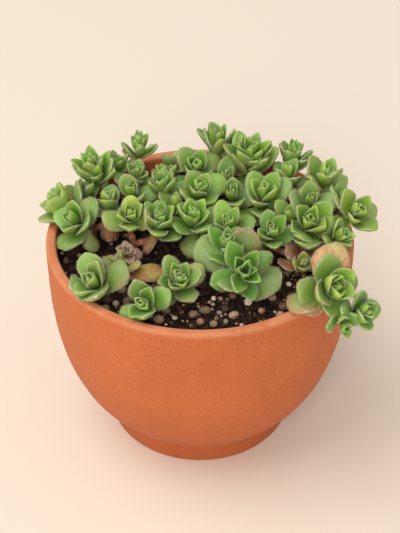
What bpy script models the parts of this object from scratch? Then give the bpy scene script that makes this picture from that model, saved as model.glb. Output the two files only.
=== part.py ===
"""Potted crassula: a turned terracotta bowl of soil, planted with a low bush of rosettes.

Lengths are in millimetres and angles in degrees until a piece is finished, when
place_object() turns it into metres. The origin is the middle of the foot's underside and
+Z is up. The planting is described as seen from -Y, the front.
"""
import math
import random
from collections import namedtuple

import bmesh
import bpy
from mathutils import Matrix, Vector
from mathutils.bvhtree import BVHTree

# Driving dimensions
METRES = 0.001
GAP = 0.3
ROUND_SIDES = 40

POT_HEIGHT = 110.0
RIM_RADIUS = 75.0
WALL = 5.0
LIP_ROUND = 1.7
FOOT_RADIUS = 46.5
FOOT_HEIGHT = 12.0
FOOT_EDGE = 1.0
BOWL_REACH = 117.3
BOWL_POWER = 3.04
TUCK_HEIGHT = 30.0
TUCK = 1.4
FLOOR_HEIGHT = 19.0

SOIL_DROP = 10.0
SOIL_MOUND = 2.5
SOIL_RELIEF = 0.7
GRANULE_SIZE = 5.4
GRANULE_COUNT = 26

TRUNK_RADIUS = 2.6
BRANCH_RADIUS = 2.1
TIP_RADIUS = 1.6
NECK_BARE = 2.6
TRUNK_DEPTH = 12.0
TRUNK_RISE = 3.0
STEM_SIDES = 5
BRANCH_SIDES = 4
BRANCH_STEPS = 3

PAIR_TWIST = 28
PAIR_SPACING = 0.08
INNER_RISE = 66
OUTER_LENGTH = 1.12
INNER_LENGTH = 0.74
LEAF_THICK = 0.9
LEAF_THICKER = 0.065
SMALL_HEAD = 15.5
LARGE_HEAD = 15

# Colours, roughness
TERRACOTTA = ((0.62, 0.24, 0.11), 0.85)
HUMUS = ((0.035, 0.024, 0.02), 0.95)
BARK = ((0.3, 0.12, 0.07), 0.8)
FRESH = ((0.17, 0.33, 0.07), 0.5)
GREY = ((0.25, 0.36, 0.2), 0.6)
OLIVE = ((0.3, 0.33, 0.08), 0.55)
ROSY = ((0.4, 0.19, 0.15), 0.7)

# The trunks: where each stands in the soil
Trunk = namedtuple("Trunk", "name x y")
TRUNKS = (
    Trunk("stem_back_left", -38, 38),
    Trunk("stem_left", -53, 9),
    Trunk("stem_mid_left", -32, -3),
    Trunk("stem_front_left", -45, -28),
    Trunk("stem_front", -21, -38),
    Trunk("stem_front_mid", 15, -19),
    Trunk("stem_middle", -6, 13),
    Trunk("stem_back", 1, 53),
    Trunk("stem_back_right", 36, 47),
    Trunk("stem_right", 44, 19),
    Trunk("stem_right_edge", 59, 29),
    Trunk("stem_mid_right", 46, -14),
    Trunk("stem_front_right", 47, -33),
)

# The heads. on: the trunk that carries it, or the head that it springs from. x, y: its heart,
# from which the innermost leaves rise. above: the heart's height over the rim. leaf: length
# of the lowest leaves. lean: how far it leans from upright, toward a compass angle, counted
# from +X to +Y. turn: compass angle of the lowest pair. cup: how steeply that pair rises.
# slim: a leaf's width as a share of its length
Head = namedtuple("Head", "name on x y above leaf lean toward turn pairs cup slim tone")
HEADS = (
    Head("head_big_front", "stem_front_mid", 18, -31, 5, 20, 34, -84, -30, 4, 8, 0.76, GREY),
    Head("shoot_big_back", "head_big_front", 13, -24, 8.5, 14.5, 14, -110, 60, 4, 32, 0.54, FRESH),
    Head("shoot_big_front", "head_big_front", 19.5, -39.5, 7.5, 16, 46, -78, 30, 5, 20, 0.52, FRESH),
    Head("head_over_rim", "stem_front_right", 58.5, -53, 9.5, 16.5, 52, -58, 20, 5, 12, 0.74, FRESH),
    Head("shoot_rim_right", "head_over_rim", 72, -61, 2, 12, 58, -50, 10, 4, 20, 0.7, FRESH),
    Head("shoot_rim_low", "head_over_rim", 64, -66.5, 0.5, 9.5, 84, -74, 30, 3, 25, 0.62, FRESH),
    Head("head_front_left", "stem_front_left", -48, -43, 2.5, 16, 32, -130, 20, 4, 16, 0.74, GREY),
    Head("head_front", "stem_front", -25, -57, 2, 14, 42, -105, 20, 4, 18, 0.68, FRESH),
    Head("head_front_mid", "stem_front", -10, -41, 2.5, 15, 28, -78, 40, 4, 15, 0.64, GREY),
    Head("head_low_left", "stem_front_left", -37, -26, 0.5, 11, 20, 200, -20, 2, 25, 0.5, OLIVE),
    Head("head_right", "stem_mid_right", 52, -6, 9, 18, 28, -85, 15, 5, 14, 0.68, FRESH),
    Head("head_side_right", "stem_mid_right", 65, -13, 7, 11, 45, -30, 30, 3, 25, 0.65, FRESH),
    Head("head_mid_right", "stem_mid_right", 34, -8, 5, 14, 22, -85, 5, 4, 18, 0.66, FRESH),
    Head("bud_yellow", "stem_mid_right", 49, -24, -0.5, 8, 30, -90, 0, 3, 45, 0.7, OLIVE),
    Head("head_edge_left", "stem_left", -59, -1, 7, 15, 36, -140, 45, 4, 18, 0.74, FRESH),
    Head("head_far_left", "stem_left", -66, 12, 7, 15, 46, 178, 15, 4, 16, 0.64, FRESH),
    Head("head_left_mid", "stem_left", -45, 15, 5, 13, 10, 90, 0, 3, 15, 0.74, GREY),
    Head("head_bright_left", "stem_mid_left", -34, 2, 8, 13, 25, -80, 5, 4, 18, 0.74, FRESH),
    Head("head_grey_left", "stem_back_left", -33, 20, 8, 14, 15, -120, 30, 3, 16, 0.78, GREY),
    Head("head_mid_left", "stem_mid_left", -20, -2, 7, 14, 14, -70, 0, 4, 22, 0.6, FRESH),
    Head("head_erect", "stem_middle", -19, 23, 9, 14, 6, -90, 10, 4, 25, 0.5, FRESH),
    Head("head_middle", "stem_middle", -3, 0, 7, 15, 12, -95, 30, 4, 20, 0.64, FRESH),
    Head("head_round", "stem_middle", 0, 22, 9, 14, 20, -85, 40, 4, 18, 0.76, FRESH),
    Head("head_centre", "stem_front_mid", 13, -5, 7, 14, 14, -90, 20, 4, 20, 0.66, FRESH),
    Head("head_cup", "stem_back", -2, 44, 7, 14, 24, -95, 45, 4, 14, 0.76, FRESH),
    Head("head_spiky_back", "stem_back", 9, 56, 13, 16, 8, 90, 20, 4, 40, 0.42, FRESH),
    Head("head_low_back", "stem_back", -14, 57, 0, 11, 25, 120, 0, 3, 18, 0.64, GREY),
    Head("head_tall_right", "stem_back_right", 25, 44, 12, 19, 10, -80, 30, 5, 38, 0.5, FRESH),
    Head("head_behind", "stem_back_right", 27, 61, 4, 14, 30, 75, 10, 3, 15, 0.66, GREY),
    Head("head_spiky_right", "stem_back_right", 47, 47, 10, 13, 15, 40, 35, 4, 26, 0.5, OLIVE),
    Head("head_grey_right", "stem_right", 43, 33, 8, 14, 12, 70, 20, 4, 18, 0.66, GREY),
    Head("head_wide_right", "stem_right", 31, 16, 9, 17, 14, -90, 30, 5, 16, 0.66, FRESH),
    Head("head_small_right", "stem_right", 54, 12, 8, 14, 20, -80, 0, 3, 20, 0.72, GREY),
    Head("head_edge_right", "stem_right_edge", 61, 31, 9, 16, 20, -20, 35, 4, 18, 0.68, FRESH),
    Head("head_grey_edge", "stem_right_edge", 68, 17, 5, 13, 30, 15, 10, 3, 18, 0.66, GREY),
    Head("head_far_right", "stem_mid_right", 74, 0, 11, 14.5, 36, -52, 40, 4, 18, 0.7, FRESH),
    Head("head_long_left", "stem_back_left", -52, 34, 10, 17, 12, -150, 15, 5, 28, 0.48, FRESH),
    Head("head_spiky_left", "stem_back_left", -31, 53, 13, 11.5, 6, 60, 10, 4, 40, 0.46, FRESH),
    Head("bud_left", "stem_back_left", -42, 45, 8, 10, 8, 90, 30, 3, 30, 0.5, FRESH),
    Head("head_small_left", "stem_back_left", -32, 36, 7, 12, 12, -60, 0, 3, 20, 0.64, GREY),
    Head("head_low_mid", "stem_back_left", -17, 41, 2, 12, 15, 60, 20, 3, 16, 0.64, GREY),
    Head("low_back_middle", "stem_back", 13, 37, 4, 14, 15, -60, 10, 3, 10, 0.7, GREY),
    Head("low_middle", "stem_middle", -11, 11, 6, 13, 10, 120, 50, 3, 10, 0.7, GREY),
    Head("low_right", "stem_right", 44, 5, 4, 13, 15, -100, 40, 3, 10, 0.7, GREY),
    Head("low_centre", "stem_right", 17, 22, 5, 14, 15, -120, 20, 3, 10, 0.7, GREY),
    Head("low_left", "stem_left", -58, 25, 4, 13, 20, 150, 60, 3, 12, 0.7, GREY),
    Head("stump_left", "stem_mid_left", -35, -16, 0.5, 8.5, 25, -80, 20, 3, 10, 0.6, ROSY),
)

# Single older leaves low on a head's neck: compass angle, rise, length, width
OldLeaf = namedtuple("OldLeaf", "head toward rise length width")
OLD_LEAVES = (
    OldLeaf("head_over_rim", 62, 50, 23, 18),
    OldLeaf("head_over_rim", 222, -22, 20, 15),
    OldLeaf("head_over_rim", 247, -30, 16, 11),
    OldLeaf("head_edge_left", 70, 62, 15, 12),
    OldLeaf("head_edge_left", -55, -38, 13, 8),
    OldLeaf("head_left_mid", -88, -28, 17, 9),
    OldLeaf("head_low_left", -18, 12, 22, 14),
    OldLeaf("head_mid_left", 215, -48, 13, 6),
    OldLeaf("head_small_right", 100, 58, 13, 11),
    OldLeaf("head_centre", 62, 55, 12, 9),
    OldLeaf("head_middle", -100, -38, 15, 11),
    OldLeaf("head_front_mid", 95, 25, 12, 9),
    OldLeaf("head_round", -25, -5, 14, 8),
    OldLeaf("head_tall_right", 150, 66, 14, 6),
    OldLeaf("head_tall_right", 215, 0, 13, 7),
    OldLeaf("bud_yellow", 130, 42, 14, 9),
    OldLeaf("bud_yellow", 185, 24, 13, 8),
    OldLeaf("bud_yellow", 60, 30, 12, 7),
    OldLeaf("head_edge_right", -65, -5, 15, 7),
    OldLeaf("head_far_right", 175, 68, 15, 6),
    OldLeaf("head_spiky_left", 190, 35, 11, 6),
)

# Heads whose own innermost pairs give way to the shoots in them: how many pairs are left
OPENED = {"head_big_front": 2}

# How a leaf may be bent clear of its neighbours: lift, turn, share of its length
BENDS = sorted(
    (
        (lift, turn, share)
        for lift in (0, 10, -10, 20, 32, 45, -22)
        for turn in (0, 12, -12, 24, -24, 38, -38)
        for share in (1.0, 0.88, 0.76, 0.64, 0.52)
    ),
    key=lambda bend: abs(bend[0]) / 14 + abs(bend[1]) / 16 + (1 - bend[2]) * 7,
)

# Where a leaf is widest and where its sections lie, as shares of its length
WIDEST = 0.62
SECTIONS = {
    "inner": (0.55,),
    "small": (0.32, 0.74),
    "plain": (0.25, 0.62, 0.88),
    "hollowed": (0.25, 0.62, 0.88),
}


def compass(angle, rise=0.0):
    """The unit vector at a compass angle, raised above the level."""
    level = math.cos(math.radians(rise))
    return Vector((
        level * math.cos(math.radians(angle)),
        level * math.sin(math.radians(angle)),
        math.sin(math.radians(rise)),
    ))


def bowl_radius(height):
    """The bowl's outer radius at a height."""
    tuck = TUCK * (max(0, TUCK_HEIGHT - height) / (TUCK_HEIGHT - FOOT_HEIGHT)) ** 2
    return RIM_RADIUS * math.sqrt(1 - ((POT_HEIGHT - height) / BOWL_REACH) ** BOWL_POWER) - tuck


def wall_point(height, depth):
    """The point a depth inside the bowl's outer face, square to it, as (radius, height)."""
    step = 0.01
    slope = (bowl_radius(height) - bowl_radius(height - step)) / step
    length = math.hypot(1, slope)
    return bowl_radius(height) - depth / length, height + depth * slope / length


def inner_wall(depth, lowest):
    """The inner wall's points from the lip down, at a depth inside the outer face."""
    heights = (98, 70, 44, 27, 17)
    points = [wall_point(height, depth) for height in heights]
    return [point for point in points if point[1] > lowest + 1.5]


def arc(centre, radius, start, end, steps):
    """Points on a circular arc in the profile's plane."""
    angles = [math.radians(start + (end - start) * i / steps) for i in range(steps + 1)]
    return [(centre[0] + radius * math.cos(a), centre[1] + radius * math.sin(a)) for a in angles]


def pot_profile():
    """The bowl's outline from the middle of its underside round the lip to its inner floor."""
    outer = [(bowl_radius(height), height) for height in (12, 19, 28, 40, 56, 80)]
    lip_height = POT_HEIGHT - LIP_ROUND
    inner = inner_wall(WALL, FLOOR_HEIGHT)
    return (
        [(0, 0), (FOOT_RADIUS - FOOT_EDGE, 0), (FOOT_RADIUS, FOOT_EDGE)]
        + [(FOOT_RADIUS, FOOT_HEIGHT - 0.5)]
        + outer
        + arc((RIM_RADIUS - LIP_ROUND, lip_height), LIP_ROUND, 0, 90, 2)
        + arc((RIM_RADIUS - WALL + LIP_ROUND, lip_height), LIP_ROUND, 90, 180, 2)
        + inner
        + [(inner[-1][0] - 5, FLOOR_HEIGHT), (0, FLOOR_HEIGHT)]
    )


def soil_height(x, y):
    """The height of the soil's surface, without granules."""
    reach = min(math.hypot(x, y) / (RIM_RADIUS - WALL), 1)
    ripple = math.sin(x * 0.31 + 1.3) * math.cos(y * 0.27) + 0.6 * math.sin(x * 0.71 - y * 0.53)
    mound = SOIL_MOUND * (1 - reach ** 2)
    return POT_HEIGHT - SOIL_DROP + mound + SOIL_RELIEF * ripple * min(1, 3 * (1 - reach))


def soil_profile():
    """The soil's outline, a gap inside the bowl, from its underside to its middle on top."""
    side = inner_wall(WALL + GAP, FLOOR_HEIGHT)
    top = POT_HEIGHT - SOIL_DROP
    bottom = (side[-1][0] - 5, FLOOR_HEIGHT + GAP)
    side = [point for point in side if point[1] < top - 4]
    edge = (RIM_RADIUS - WALL - GAP - 0.4, top)
    rings = [(radius, top) for radius in (58, 42, 22)]
    return [(0, FLOOR_HEIGHT + GAP), bottom] + side[::-1] + [edge] + rings + [(0, top)]


def lathe(profile):
    """A bmesh turned from a profile round the Z axis."""
    turned = bmesh.new()
    verts = [turned.verts.new((radius, 0, height)) for radius, height in profile]
    edges = [turned.edges.new(pair) for pair in zip(verts, verts[1:])]
    bmesh.ops.spin(
        turned, geom=verts + edges, cent=(0, 0, 0), axis=(0, 0, 1),
        angle=math.tau, steps=ROUND_SIDES, use_merge=True,
    )
    bmesh.ops.remove_doubles(turned, verts=turned.verts, dist=0.001)
    bmesh.ops.recalc_face_normals(turned, faces=turned.faces)
    return turned


Loft = namedtuple("Loft", "points faces")


def loft(rings, ends=None):
    """A closed skin through rings of points, with flat ends or running to two end points."""
    sides = len(rings[0])
    points = [point for ring in rings for point in ring]
    faces = []
    for row in range(len(rings) - 1):
        for side in range(sides):
            a = row * sides + side
            b = row * sides + (side + 1) % sides
            faces.append((a, b, b + sides, a + sides))
    last = (len(rings) - 1) * sides
    if ends is None:
        faces.append(tuple(reversed(range(sides))))
        faces.append(tuple(range(last, last + sides)))
    else:
        root = len(points)
        points += ends
        for side in range(sides):
            after = (side + 1) % sides
            faces.append((after, side, root))
            faces.append((last + side, last + after, root + 1))
    return Loft(points, faces)


def ring(centre, axis, radius, sides):
    """A ring of points round an axis, running anticlockwise seen from its far end."""
    turn = Vector((0, 0, 1)).rotation_difference(axis).to_matrix()
    angles = [math.tau * i / sides for i in range(sides)]
    return [centre + turn @ Vector((radius * math.cos(a), radius * math.sin(a), 0)) for a in angles]


def tube(path, radii, sides, facing=None):
    """A closed tube along a path. Its last end may face another way than the path."""
    ways = [path[1] - path[0]]
    ways += [after - before for before, after in zip(path, path[2:])]
    ways.append(facing or path[-1] - path[-2])
    return loft([ring(p, way.normalized(), r, sides) for p, way, r in zip(path, ways, radii)])


Leaf = namedtuple("Leaf", "root out axis rise curl length width thick hollow cut")


def outline(along):
    """A leaf's width at a share of its length, as a share of its greatest width."""
    if along < WIDEST:
        return math.sin(math.pi / 2 * (0.25 + 0.75 * along / WIDEST))
    fall = (along - WIDEST) / (1 - WIDEST)
    return math.sqrt(max(0, 1 - fall ** 2.1))


def midrib(leaf, along):
    """The point on a leaf's midrib at a share of its length, and the leaf's normal there."""
    start = math.radians(leaf.rise)
    bend = math.radians(leaf.curl)
    angle = start + bend * along
    if abs(bend) < 0.01:
        across = leaf.length * along * math.cos(start)
        up = leaf.length * along * math.sin(start)
    else:
        across = leaf.length / bend * (math.sin(angle) - math.sin(start))
        up = leaf.length / bend * (math.cos(start) - math.cos(angle))
    normal = leaf.axis * math.cos(angle) - leaf.out * math.sin(angle)
    return leaf.root + leaf.out * across + leaf.axis * up, normal


def leaf_loft(leaf, margin=0.0):
    """A leaf, keeled below. A hollowed one sinks along its middle above as well."""
    sideways = leaf.axis.cross(leaf.out)
    rings = []
    for along in SECTIONS[leaf.cut]:
        spine, normal = midrib(leaf, along)
        half = leaf.width / 2 * outline(along)
        thick = leaf.thick * (0.4 + 0.6 * outline(along))
        edge = normal * (leaf.hollow * half)
        section = [
            spine + edge - sideways * (half + margin),
            spine - normal * (thick + margin),
            spine + edge + sideways * (half + margin),
        ]
        if leaf.cut == "hollowed":
            section.append(spine + normal * margin)
        rings.append(section)
    spine, normal = midrib(leaf, 1)
    reach = (spine - midrib(leaf, 0.97)[0]).normalized()
    tip = spine + normal * (leaf.hollow * leaf.width * 0.12) + reach * margin
    return loft(rings, [leaf.root, tip])


def head_axis(head):
    """The direction that a head faces."""
    return compass(head.toward, 90 - head.lean)


def heart(head):
    """The point from which a head's innermost leaves rise."""
    return Vector((head.x, head.y, POT_HEIGHT + head.above))


def neck_length(head):
    """How far a head's leaves are spread down its axis, below its heart."""
    return 1.5 + PAIR_SPACING * head.leaf * (head.pairs - 1)


def neck_base(head):
    """The foot of a head's neck, which its stem carries."""
    return heart(head) - head_axis(head) * (neck_length(head) + NECK_BARE)


def head_leaves(head):
    """A head's pairs of leaves, lowest first, each pair across the one below it."""
    draw = random.Random(head.name)
    axis = head_axis(head)
    level = compass(head.turn)
    out = (level - axis * level.dot(axis)).normalized()
    pairs = []
    for number in range(head.pairs):
        inward = number / (head.pairs - 1)
        turn = 90 * number + PAIR_TWIST * (number // 2) + draw.uniform(-8, 8)
        if number == head.pairs - 1:
            cut = "inner"
        elif number > head.pairs - 4 or head.leaf < SMALL_HEAD:
            cut = "small"
        else:
            cut = "hollowed" if head.leaf > LARGE_HEAD else "plain"
        pair = []
        for side in (0, 180):
            angle = turn + side + draw.uniform(-7, 7)
            share = OUTER_LENGTH + (INNER_LENGTH - OUTER_LENGTH) * inward ** 2
            length = head.leaf * share * draw.uniform(0.92, 1.08)
            rise = head.cup + (INNER_RISE - head.cup) * inward + draw.uniform(-5, 5)
            thick = LEAF_THICK + LEAF_THICKER * length
            way = Matrix.Rotation(math.radians(angle), 3, axis) @ out
            below = neck_length(head) * (1 - inward)
            pair.append(Leaf(
                root=heart(head) - axis * below + way * (0.4 * thick * inward),
                out=way, axis=axis, rise=rise, curl=10 + 12 * inward, length=length,
                width=length * head.slim * (1.08 - 0.2 * inward), thick=thick,
                hollow=0.16 + 0.4 * inward, cut=cut,
            ))
        pairs.append(pair)
    return pairs[:OPENED.get(head.name, head.pairs)]


def old_leaf(old, head):
    """An older leaf on a head's neck, set by its compass angle and rise above the level."""
    root = neck_base(head) + head_axis(head) * (NECK_BARE - 0.4)
    return Leaf(
        root=root, out=compass(old.toward), axis=Vector((0, 0, 1)), rise=old.rise, curl=-14,
        length=old.length, width=old.width, thick=LEAF_THICK + LEAF_THICKER * old.length, hollow=0.12,
        cut="hollowed" if old.length > LARGE_HEAD else "plain",
    )


def bent(leaf, bend):
    """A leaf lifted, turned about its own axis and shortened."""
    lift, turn, share = bend
    way = Matrix.Rotation(math.radians(turn), 3, leaf.axis) @ leaf.out
    return leaf._replace(
        out=way, rise=leaf.rise + lift, length=leaf.length * share,
        width=leaf.width * (0.3 + 0.7 * share),
    )


def skin_tree(shape):
    """A search tree of a loft's faces."""
    return BVHTree.FromPolygons(shape.points, shape.faces)


def clear_leaf(leaf, obstacles):
    """The leaf with the smallest bend that keeps it a gap away from every obstacle."""
    near = [
        tree for tree, centre, radius in obstacles
        if (centre - leaf.root).length < radius + leaf.length + 3
    ]
    for bend in BENDS:
        trial = bent(leaf, bend)
        skin = skin_tree(leaf_loft(trial, GAP + 0.1))
        if not any(skin.overlap(tree) for tree in near):
            return trial
    return None


def obstacle(shape):
    """A loft's search tree with a ball round it."""
    centre = sum(shape.points, Vector()) / len(shape.points)
    radius = max((point - centre).length for point in shape.points)
    return skin_tree(shape), centre, radius


def node_of(head):
    """The name of the head that a head belongs to: its own, or that which it springs from."""
    return head.on if head.on.startswith("head") else head.name


def head_core(head):
    """A head's slim neck, which its leaves grow from."""
    axis = head_axis(head)
    base = neck_base(head)
    path = [base, base + axis * NECK_BARE, heart(head) + axis * (0.35 * head.leaf)]
    return tube(path, [TIP_RADIUS, TIP_RADIUS, 0.5 * TIP_RADIUS], BRANCH_SIDES)


def shoot_neck(head, parent):
    """The short stalk that joins a side shoot to the head it springs from."""
    start = heart(parent) - head_axis(parent) * neck_length(parent)
    end = neck_base(head) + head_axis(head) * 0.8
    return tube([start, end], [1.5, 1.3], BRANCH_SIDES)


def branch_path(trunk, head):
    """A branch's curve from its trunk's top to a gap below a head's neck."""
    start = Vector((trunk.x, trunk.y, soil_height(trunk.x, trunk.y) + TRUNK_RISE))
    end = neck_base(head) - head_axis(head) * GAP
    span = (end - start).length
    over_start = start + Vector((0, 0, 0.3 * span))
    before_end = end - head_axis(head) * (0.35 * span)
    points = []
    for i in range(BRANCH_STEPS + 1):
        t = i / BRANCH_STEPS
        points.append(
            start * (1 - t) ** 3 + over_start * (3 * t * (1 - t) ** 2)
            + before_end * (3 * t ** 2 * (1 - t)) + end * t ** 3
        )
    return points


def stem_lofts(trunk):
    """A trunk and its branches."""
    ground = soil_height(trunk.x, trunk.y)
    foot = Vector((trunk.x, trunk.y, ground - TRUNK_DEPTH))
    top = Vector((trunk.x, trunk.y, ground + TRUNK_RISE + 1.2))
    shapes = [tube([foot, (foot + top) / 2, top], [TRUNK_RADIUS] * 3, STEM_SIDES)]
    for head in HEADS:
        if head.on == trunk.name:
            path = branch_path(trunk, head)
            radii = [
                BRANCH_RADIUS + (TIP_RADIUS - BRANCH_RADIUS) * i / (len(path) - 1)
                for i in range(len(path))
            ]
            shapes.append(tube(path, radii, BRANCH_SIDES, head_axis(head)))
    return shapes


def material(name, finish):
    """A plain material of a colour and roughness."""
    colour, roughness = finish
    made = bpy.data.materials.new(name)
    made.use_nodes = True
    shader = made.node_tree.nodes["Principled BSDF"]
    shader.inputs["Base Color"].default_value = (*colour, 1)
    shader.inputs["Roughness"].default_value = roughness
    shader.inputs["Metallic"].default_value = 0
    made.diffuse_color = (*colour, 1)
    return made


def place_object(name, shape, surface):
    """An object, in metres, from a bmesh in millimetres."""
    bmesh.ops.scale(shape, vec=(METRES, METRES, METRES), verts=shape.verts)
    mesh = bpy.data.meshes.new(name)
    shape.to_mesh(mesh)
    shape.free()
    mesh.materials.append(surface)
    made = bpy.data.objects.new(name, mesh)
    bpy.context.scene.collection.objects.link(made)
    return made


def bmesh_from(shape):
    """A bmesh of a loft."""
    made = bmesh.new()
    verts = [made.verts.new(point) for point in shape.points]
    for face in shape.faces:
        made.faces.new([verts[i] for i in face])
    bmesh.ops.recalc_face_normals(made, faces=made.faces)
    return made


def join_lofts(base, shapes, surface, operation="UNION"):
    """Joins shapes to an object, or cuts them from it, with one Boolean on a collection."""
    tools = bpy.data.collections.new(base.name + "_shapes")
    bpy.context.scene.collection.children.link(tools)
    for number, shape in enumerate(shapes):
        tool = place_object(f"{base.name}_shape_{number}", bmesh_from(shape), surface)
        bpy.context.scene.collection.objects.unlink(tool)
        tools.objects.link(tool)
    boolean = base.modifiers.new("Join", "BOOLEAN")
    boolean.operation = operation
    boolean.operand_type = "COLLECTION"
    boolean.collection = tools
    boolean.solver = "EXACT"
    bpy.context.view_layer.update()
    evaluated = base.evaluated_get(bpy.context.evaluated_depsgraph_get())
    joined = bpy.data.meshes.new_from_object(evaluated)
    base.modifiers.remove(boolean)
    old = base.data
    base.data = joined
    bpy.data.meshes.remove(old)
    for tool in list(tools.objects):
        bpy.data.objects.remove(tool)
    bpy.data.collections.remove(tools)
    joined.name = base.name


def make_pot():
    """The terracotta bowl with its foot."""
    pot = place_object("pot", lathe(pot_profile()), material("terracotta", TERRACOTTA))
    pot.data.shade_smooth()
    pot.data.set_sharp_from_angle(angle=math.radians(35))


def granule(x, y, size, draw):
    """One pumice granule, half sunk in the soil."""
    centre = Vector((x, y, soil_height(x, y) + 0.16 * size))
    turn = Matrix.Rotation(draw.uniform(0, math.tau), 3, "Z")
    rings = []
    for share, height in ((1.0, -0.7), (0.62, 0.4)):
        radius = size / 2 * share * draw.uniform(0.9, 1.1)
        offset = Vector((0, 0, height * size))
        rings.append([centre + turn @ p for p in ring(offset, Vector((0, 0, 1)), radius, 4)])
    return loft(rings)


def granules(draw):
    """Granules scattered over the open soil at the front and thinly elsewhere."""
    places = []
    while len(places) < GRANULE_COUNT:
        angle = draw.uniform(0, 360)
        front = 200 < angle < 340
        reach = draw.uniform(46 if front else 58, 65)
        if front or draw.random() < 0.3:
            spot = compass(angle) * reach
            size = GRANULE_SIZE * draw.uniform(0.75, 1.1)
            free_of_stems = all(
                (spot - Vector((trunk.x, trunk.y, 0))).length > 9 for trunk in TRUNKS
            )
            if free_of_stems and all((spot - other).length > 5.2 for other, _ in places):
                places.append((spot, size))
    return [granule(spot.x, spot.y, size, draw) for spot, size in places]


def make_soil():
    """The soil bed with the trunks' holes in it and granules on it. Returns its search tree."""
    surface = material("soil", HUMUS)
    bed = lathe(soil_profile())
    top = POT_HEIGHT - SOIL_DROP
    for vert in bed.verts:
        if abs(vert.co.z - top) < 0.01:
            vert.co.z = soil_height(vert.co.x, vert.co.y)
    soil = place_object("soil", bed, surface)
    holes = []
    for trunk in TRUNKS:
        ground = soil_height(trunk.x, trunk.y)
        foot = Vector((trunk.x, trunk.y, ground - TRUNK_DEPTH - GAP))
        mouth = Vector((trunk.x, trunk.y, ground + 4))
        hole_radius = TRUNK_RADIUS + GAP / math.cos(math.pi / STEM_SIDES)
        holes.append(tube([foot, (foot + mouth) / 2, mouth], [hole_radius] * 3, STEM_SIDES))
    join_lofts(soil, granules(random.Random(7)), surface)
    join_lofts(soil, holes, surface, "DIFFERENCE")


def object_tree(name):
    """A search tree of a finished object's faces, in millimetres."""
    mesh = bpy.data.objects[name].data
    points = [vert.co / METRES for vert in mesh.vertices]
    return BVHTree.FromPolygons(points, [tuple(face.vertices) for face in mesh.polygons])


def islands(shape):
    """The vertices of each separate skin of a bmesh."""
    left = set(shape.verts)
    found = []
    while left:
        front = [left.pop()]
        island = set(front)
        while front:
            vert = front.pop()
            for edge in vert.link_edges:
                other = edge.other_vert(vert)
                if other in left:
                    left.remove(other)
                    island.add(other)
                    front.append(other)
        found.append(island)
    return sorted(found, key=len)


def fill_pockets(mesh):
    """Fills the small pockets shut in between leaves that cross."""
    shape = bmesh.new()
    shape.from_mesh(mesh)
    for island in islands(shape)[:-1]:
        bmesh.ops.delete(shape, geom=list(island), context="VERTS")
    shape.to_mesh(mesh)
    shape.free()


def fused(name, shapes, surface):
    """A node of shapes joined in one body."""
    made = place_object(name, bmesh_from(shapes[0]), surface)
    join_lofts(made, shapes[1:], surface)
    fill_pockets(made.data)


def make_stems():
    """The trunks with their branches. Returns their obstacles, by trunk."""
    surface = material("bark", BARK)
    blocked = {}
    for trunk in TRUNKS:
        shapes = stem_lofts(trunk)
        fused(trunk.name, shapes, surface)
        blocked[trunk.name] = [obstacle(shape) for shape in shapes]
    return blocked


def plan_heads(stems):
    """Every head's neck and leaves, bent clear of what is planned before them."""
    ground = Vector((0, 0, POT_HEIGHT))
    fixed = [(object_tree("pot"), ground, 300), (object_tree("soil"), ground, 300)]
    fixed += [item for items in stems.values() for item in items]
    by_name = {head.name: head for head in HEADS}
    shapes = {head.name: [head_core(head)] for head in HEADS}
    cores = {head.name: obstacle(shapes[head.name][0]) for head in HEADS}
    for head in HEADS:
        if head.on in by_name:
            shapes[head.name].append(shoot_neck(head, by_name[head.on]))
    blades = {head.name: [] for head in HEADS}
    wanted = {head.name: head_leaves(head) for head in HEADS}
    for old in OLD_LEAVES:
        wanted[old.head].insert(0, [])
    for old in OLD_LEAVES:
        wanted[old.head][0].append(old_leaf(old, by_name[old.head]))
    for layer in range(1, 1 + max(len(pairs) for pairs in wanted.values())):
        for head in HEADS:
            if layer > len(wanted[head.name]):
                continue
            node = node_of(head)
            others = [item for other in HEADS if node_of(other) != node for item in blades[other.name]]
            others += [cores[other.name] for other in HEADS if node_of(other) != node]
            for leaf in wanted[head.name][-layer]:
                found = clear_leaf(leaf, fixed + others)
                if found:
                    shape = leaf_loft(found)
                    shapes[head.name].append(shape)
                    blades[head.name].append(obstacle(shape))
    return shapes


def make_heads(stems):
    """The heads, each with the shoots that spring from it."""
    surfaces = {
        FRESH: material("leaf_fresh", FRESH),
        GREY: material("leaf_grey", GREY),
        OLIVE: material("leaf_olive", OLIVE),
        ROSY: material("leaf_rosy", ROSY),
    }
    shapes = plan_heads(stems)
    roots = [head for head in HEADS if head.on in stems]
    for root in roots:
        parts = list(shapes[root.name])
        for head in HEADS:
            if head.on == root.name:
                parts += shapes[head.name]
        fused(root.name, parts, surfaces[root.tone])


def main():
    """Builds the whole potted plant."""
    for old in list(bpy.data.objects):
        bpy.data.objects.remove(old)
    make_pot()
    make_soil()
    make_heads(make_stems())


main()
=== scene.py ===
"""Potted crassula: fine leaves, woody stems, gritty soil and a turned terracotta bowl.

The planting is worked out in millimetres and degrees, from the middle of the foot's
underside with +Z up, and each finished piece is stored in metres.
"""
import math
import random
from collections import namedtuple

import bmesh
import bpy
from bpy.props import FloatProperty, FloatVectorProperty, IntProperty, PointerProperty
from mathutils import Matrix, Vector, noise
from mathutils.bvhtree import BVHTree


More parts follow.
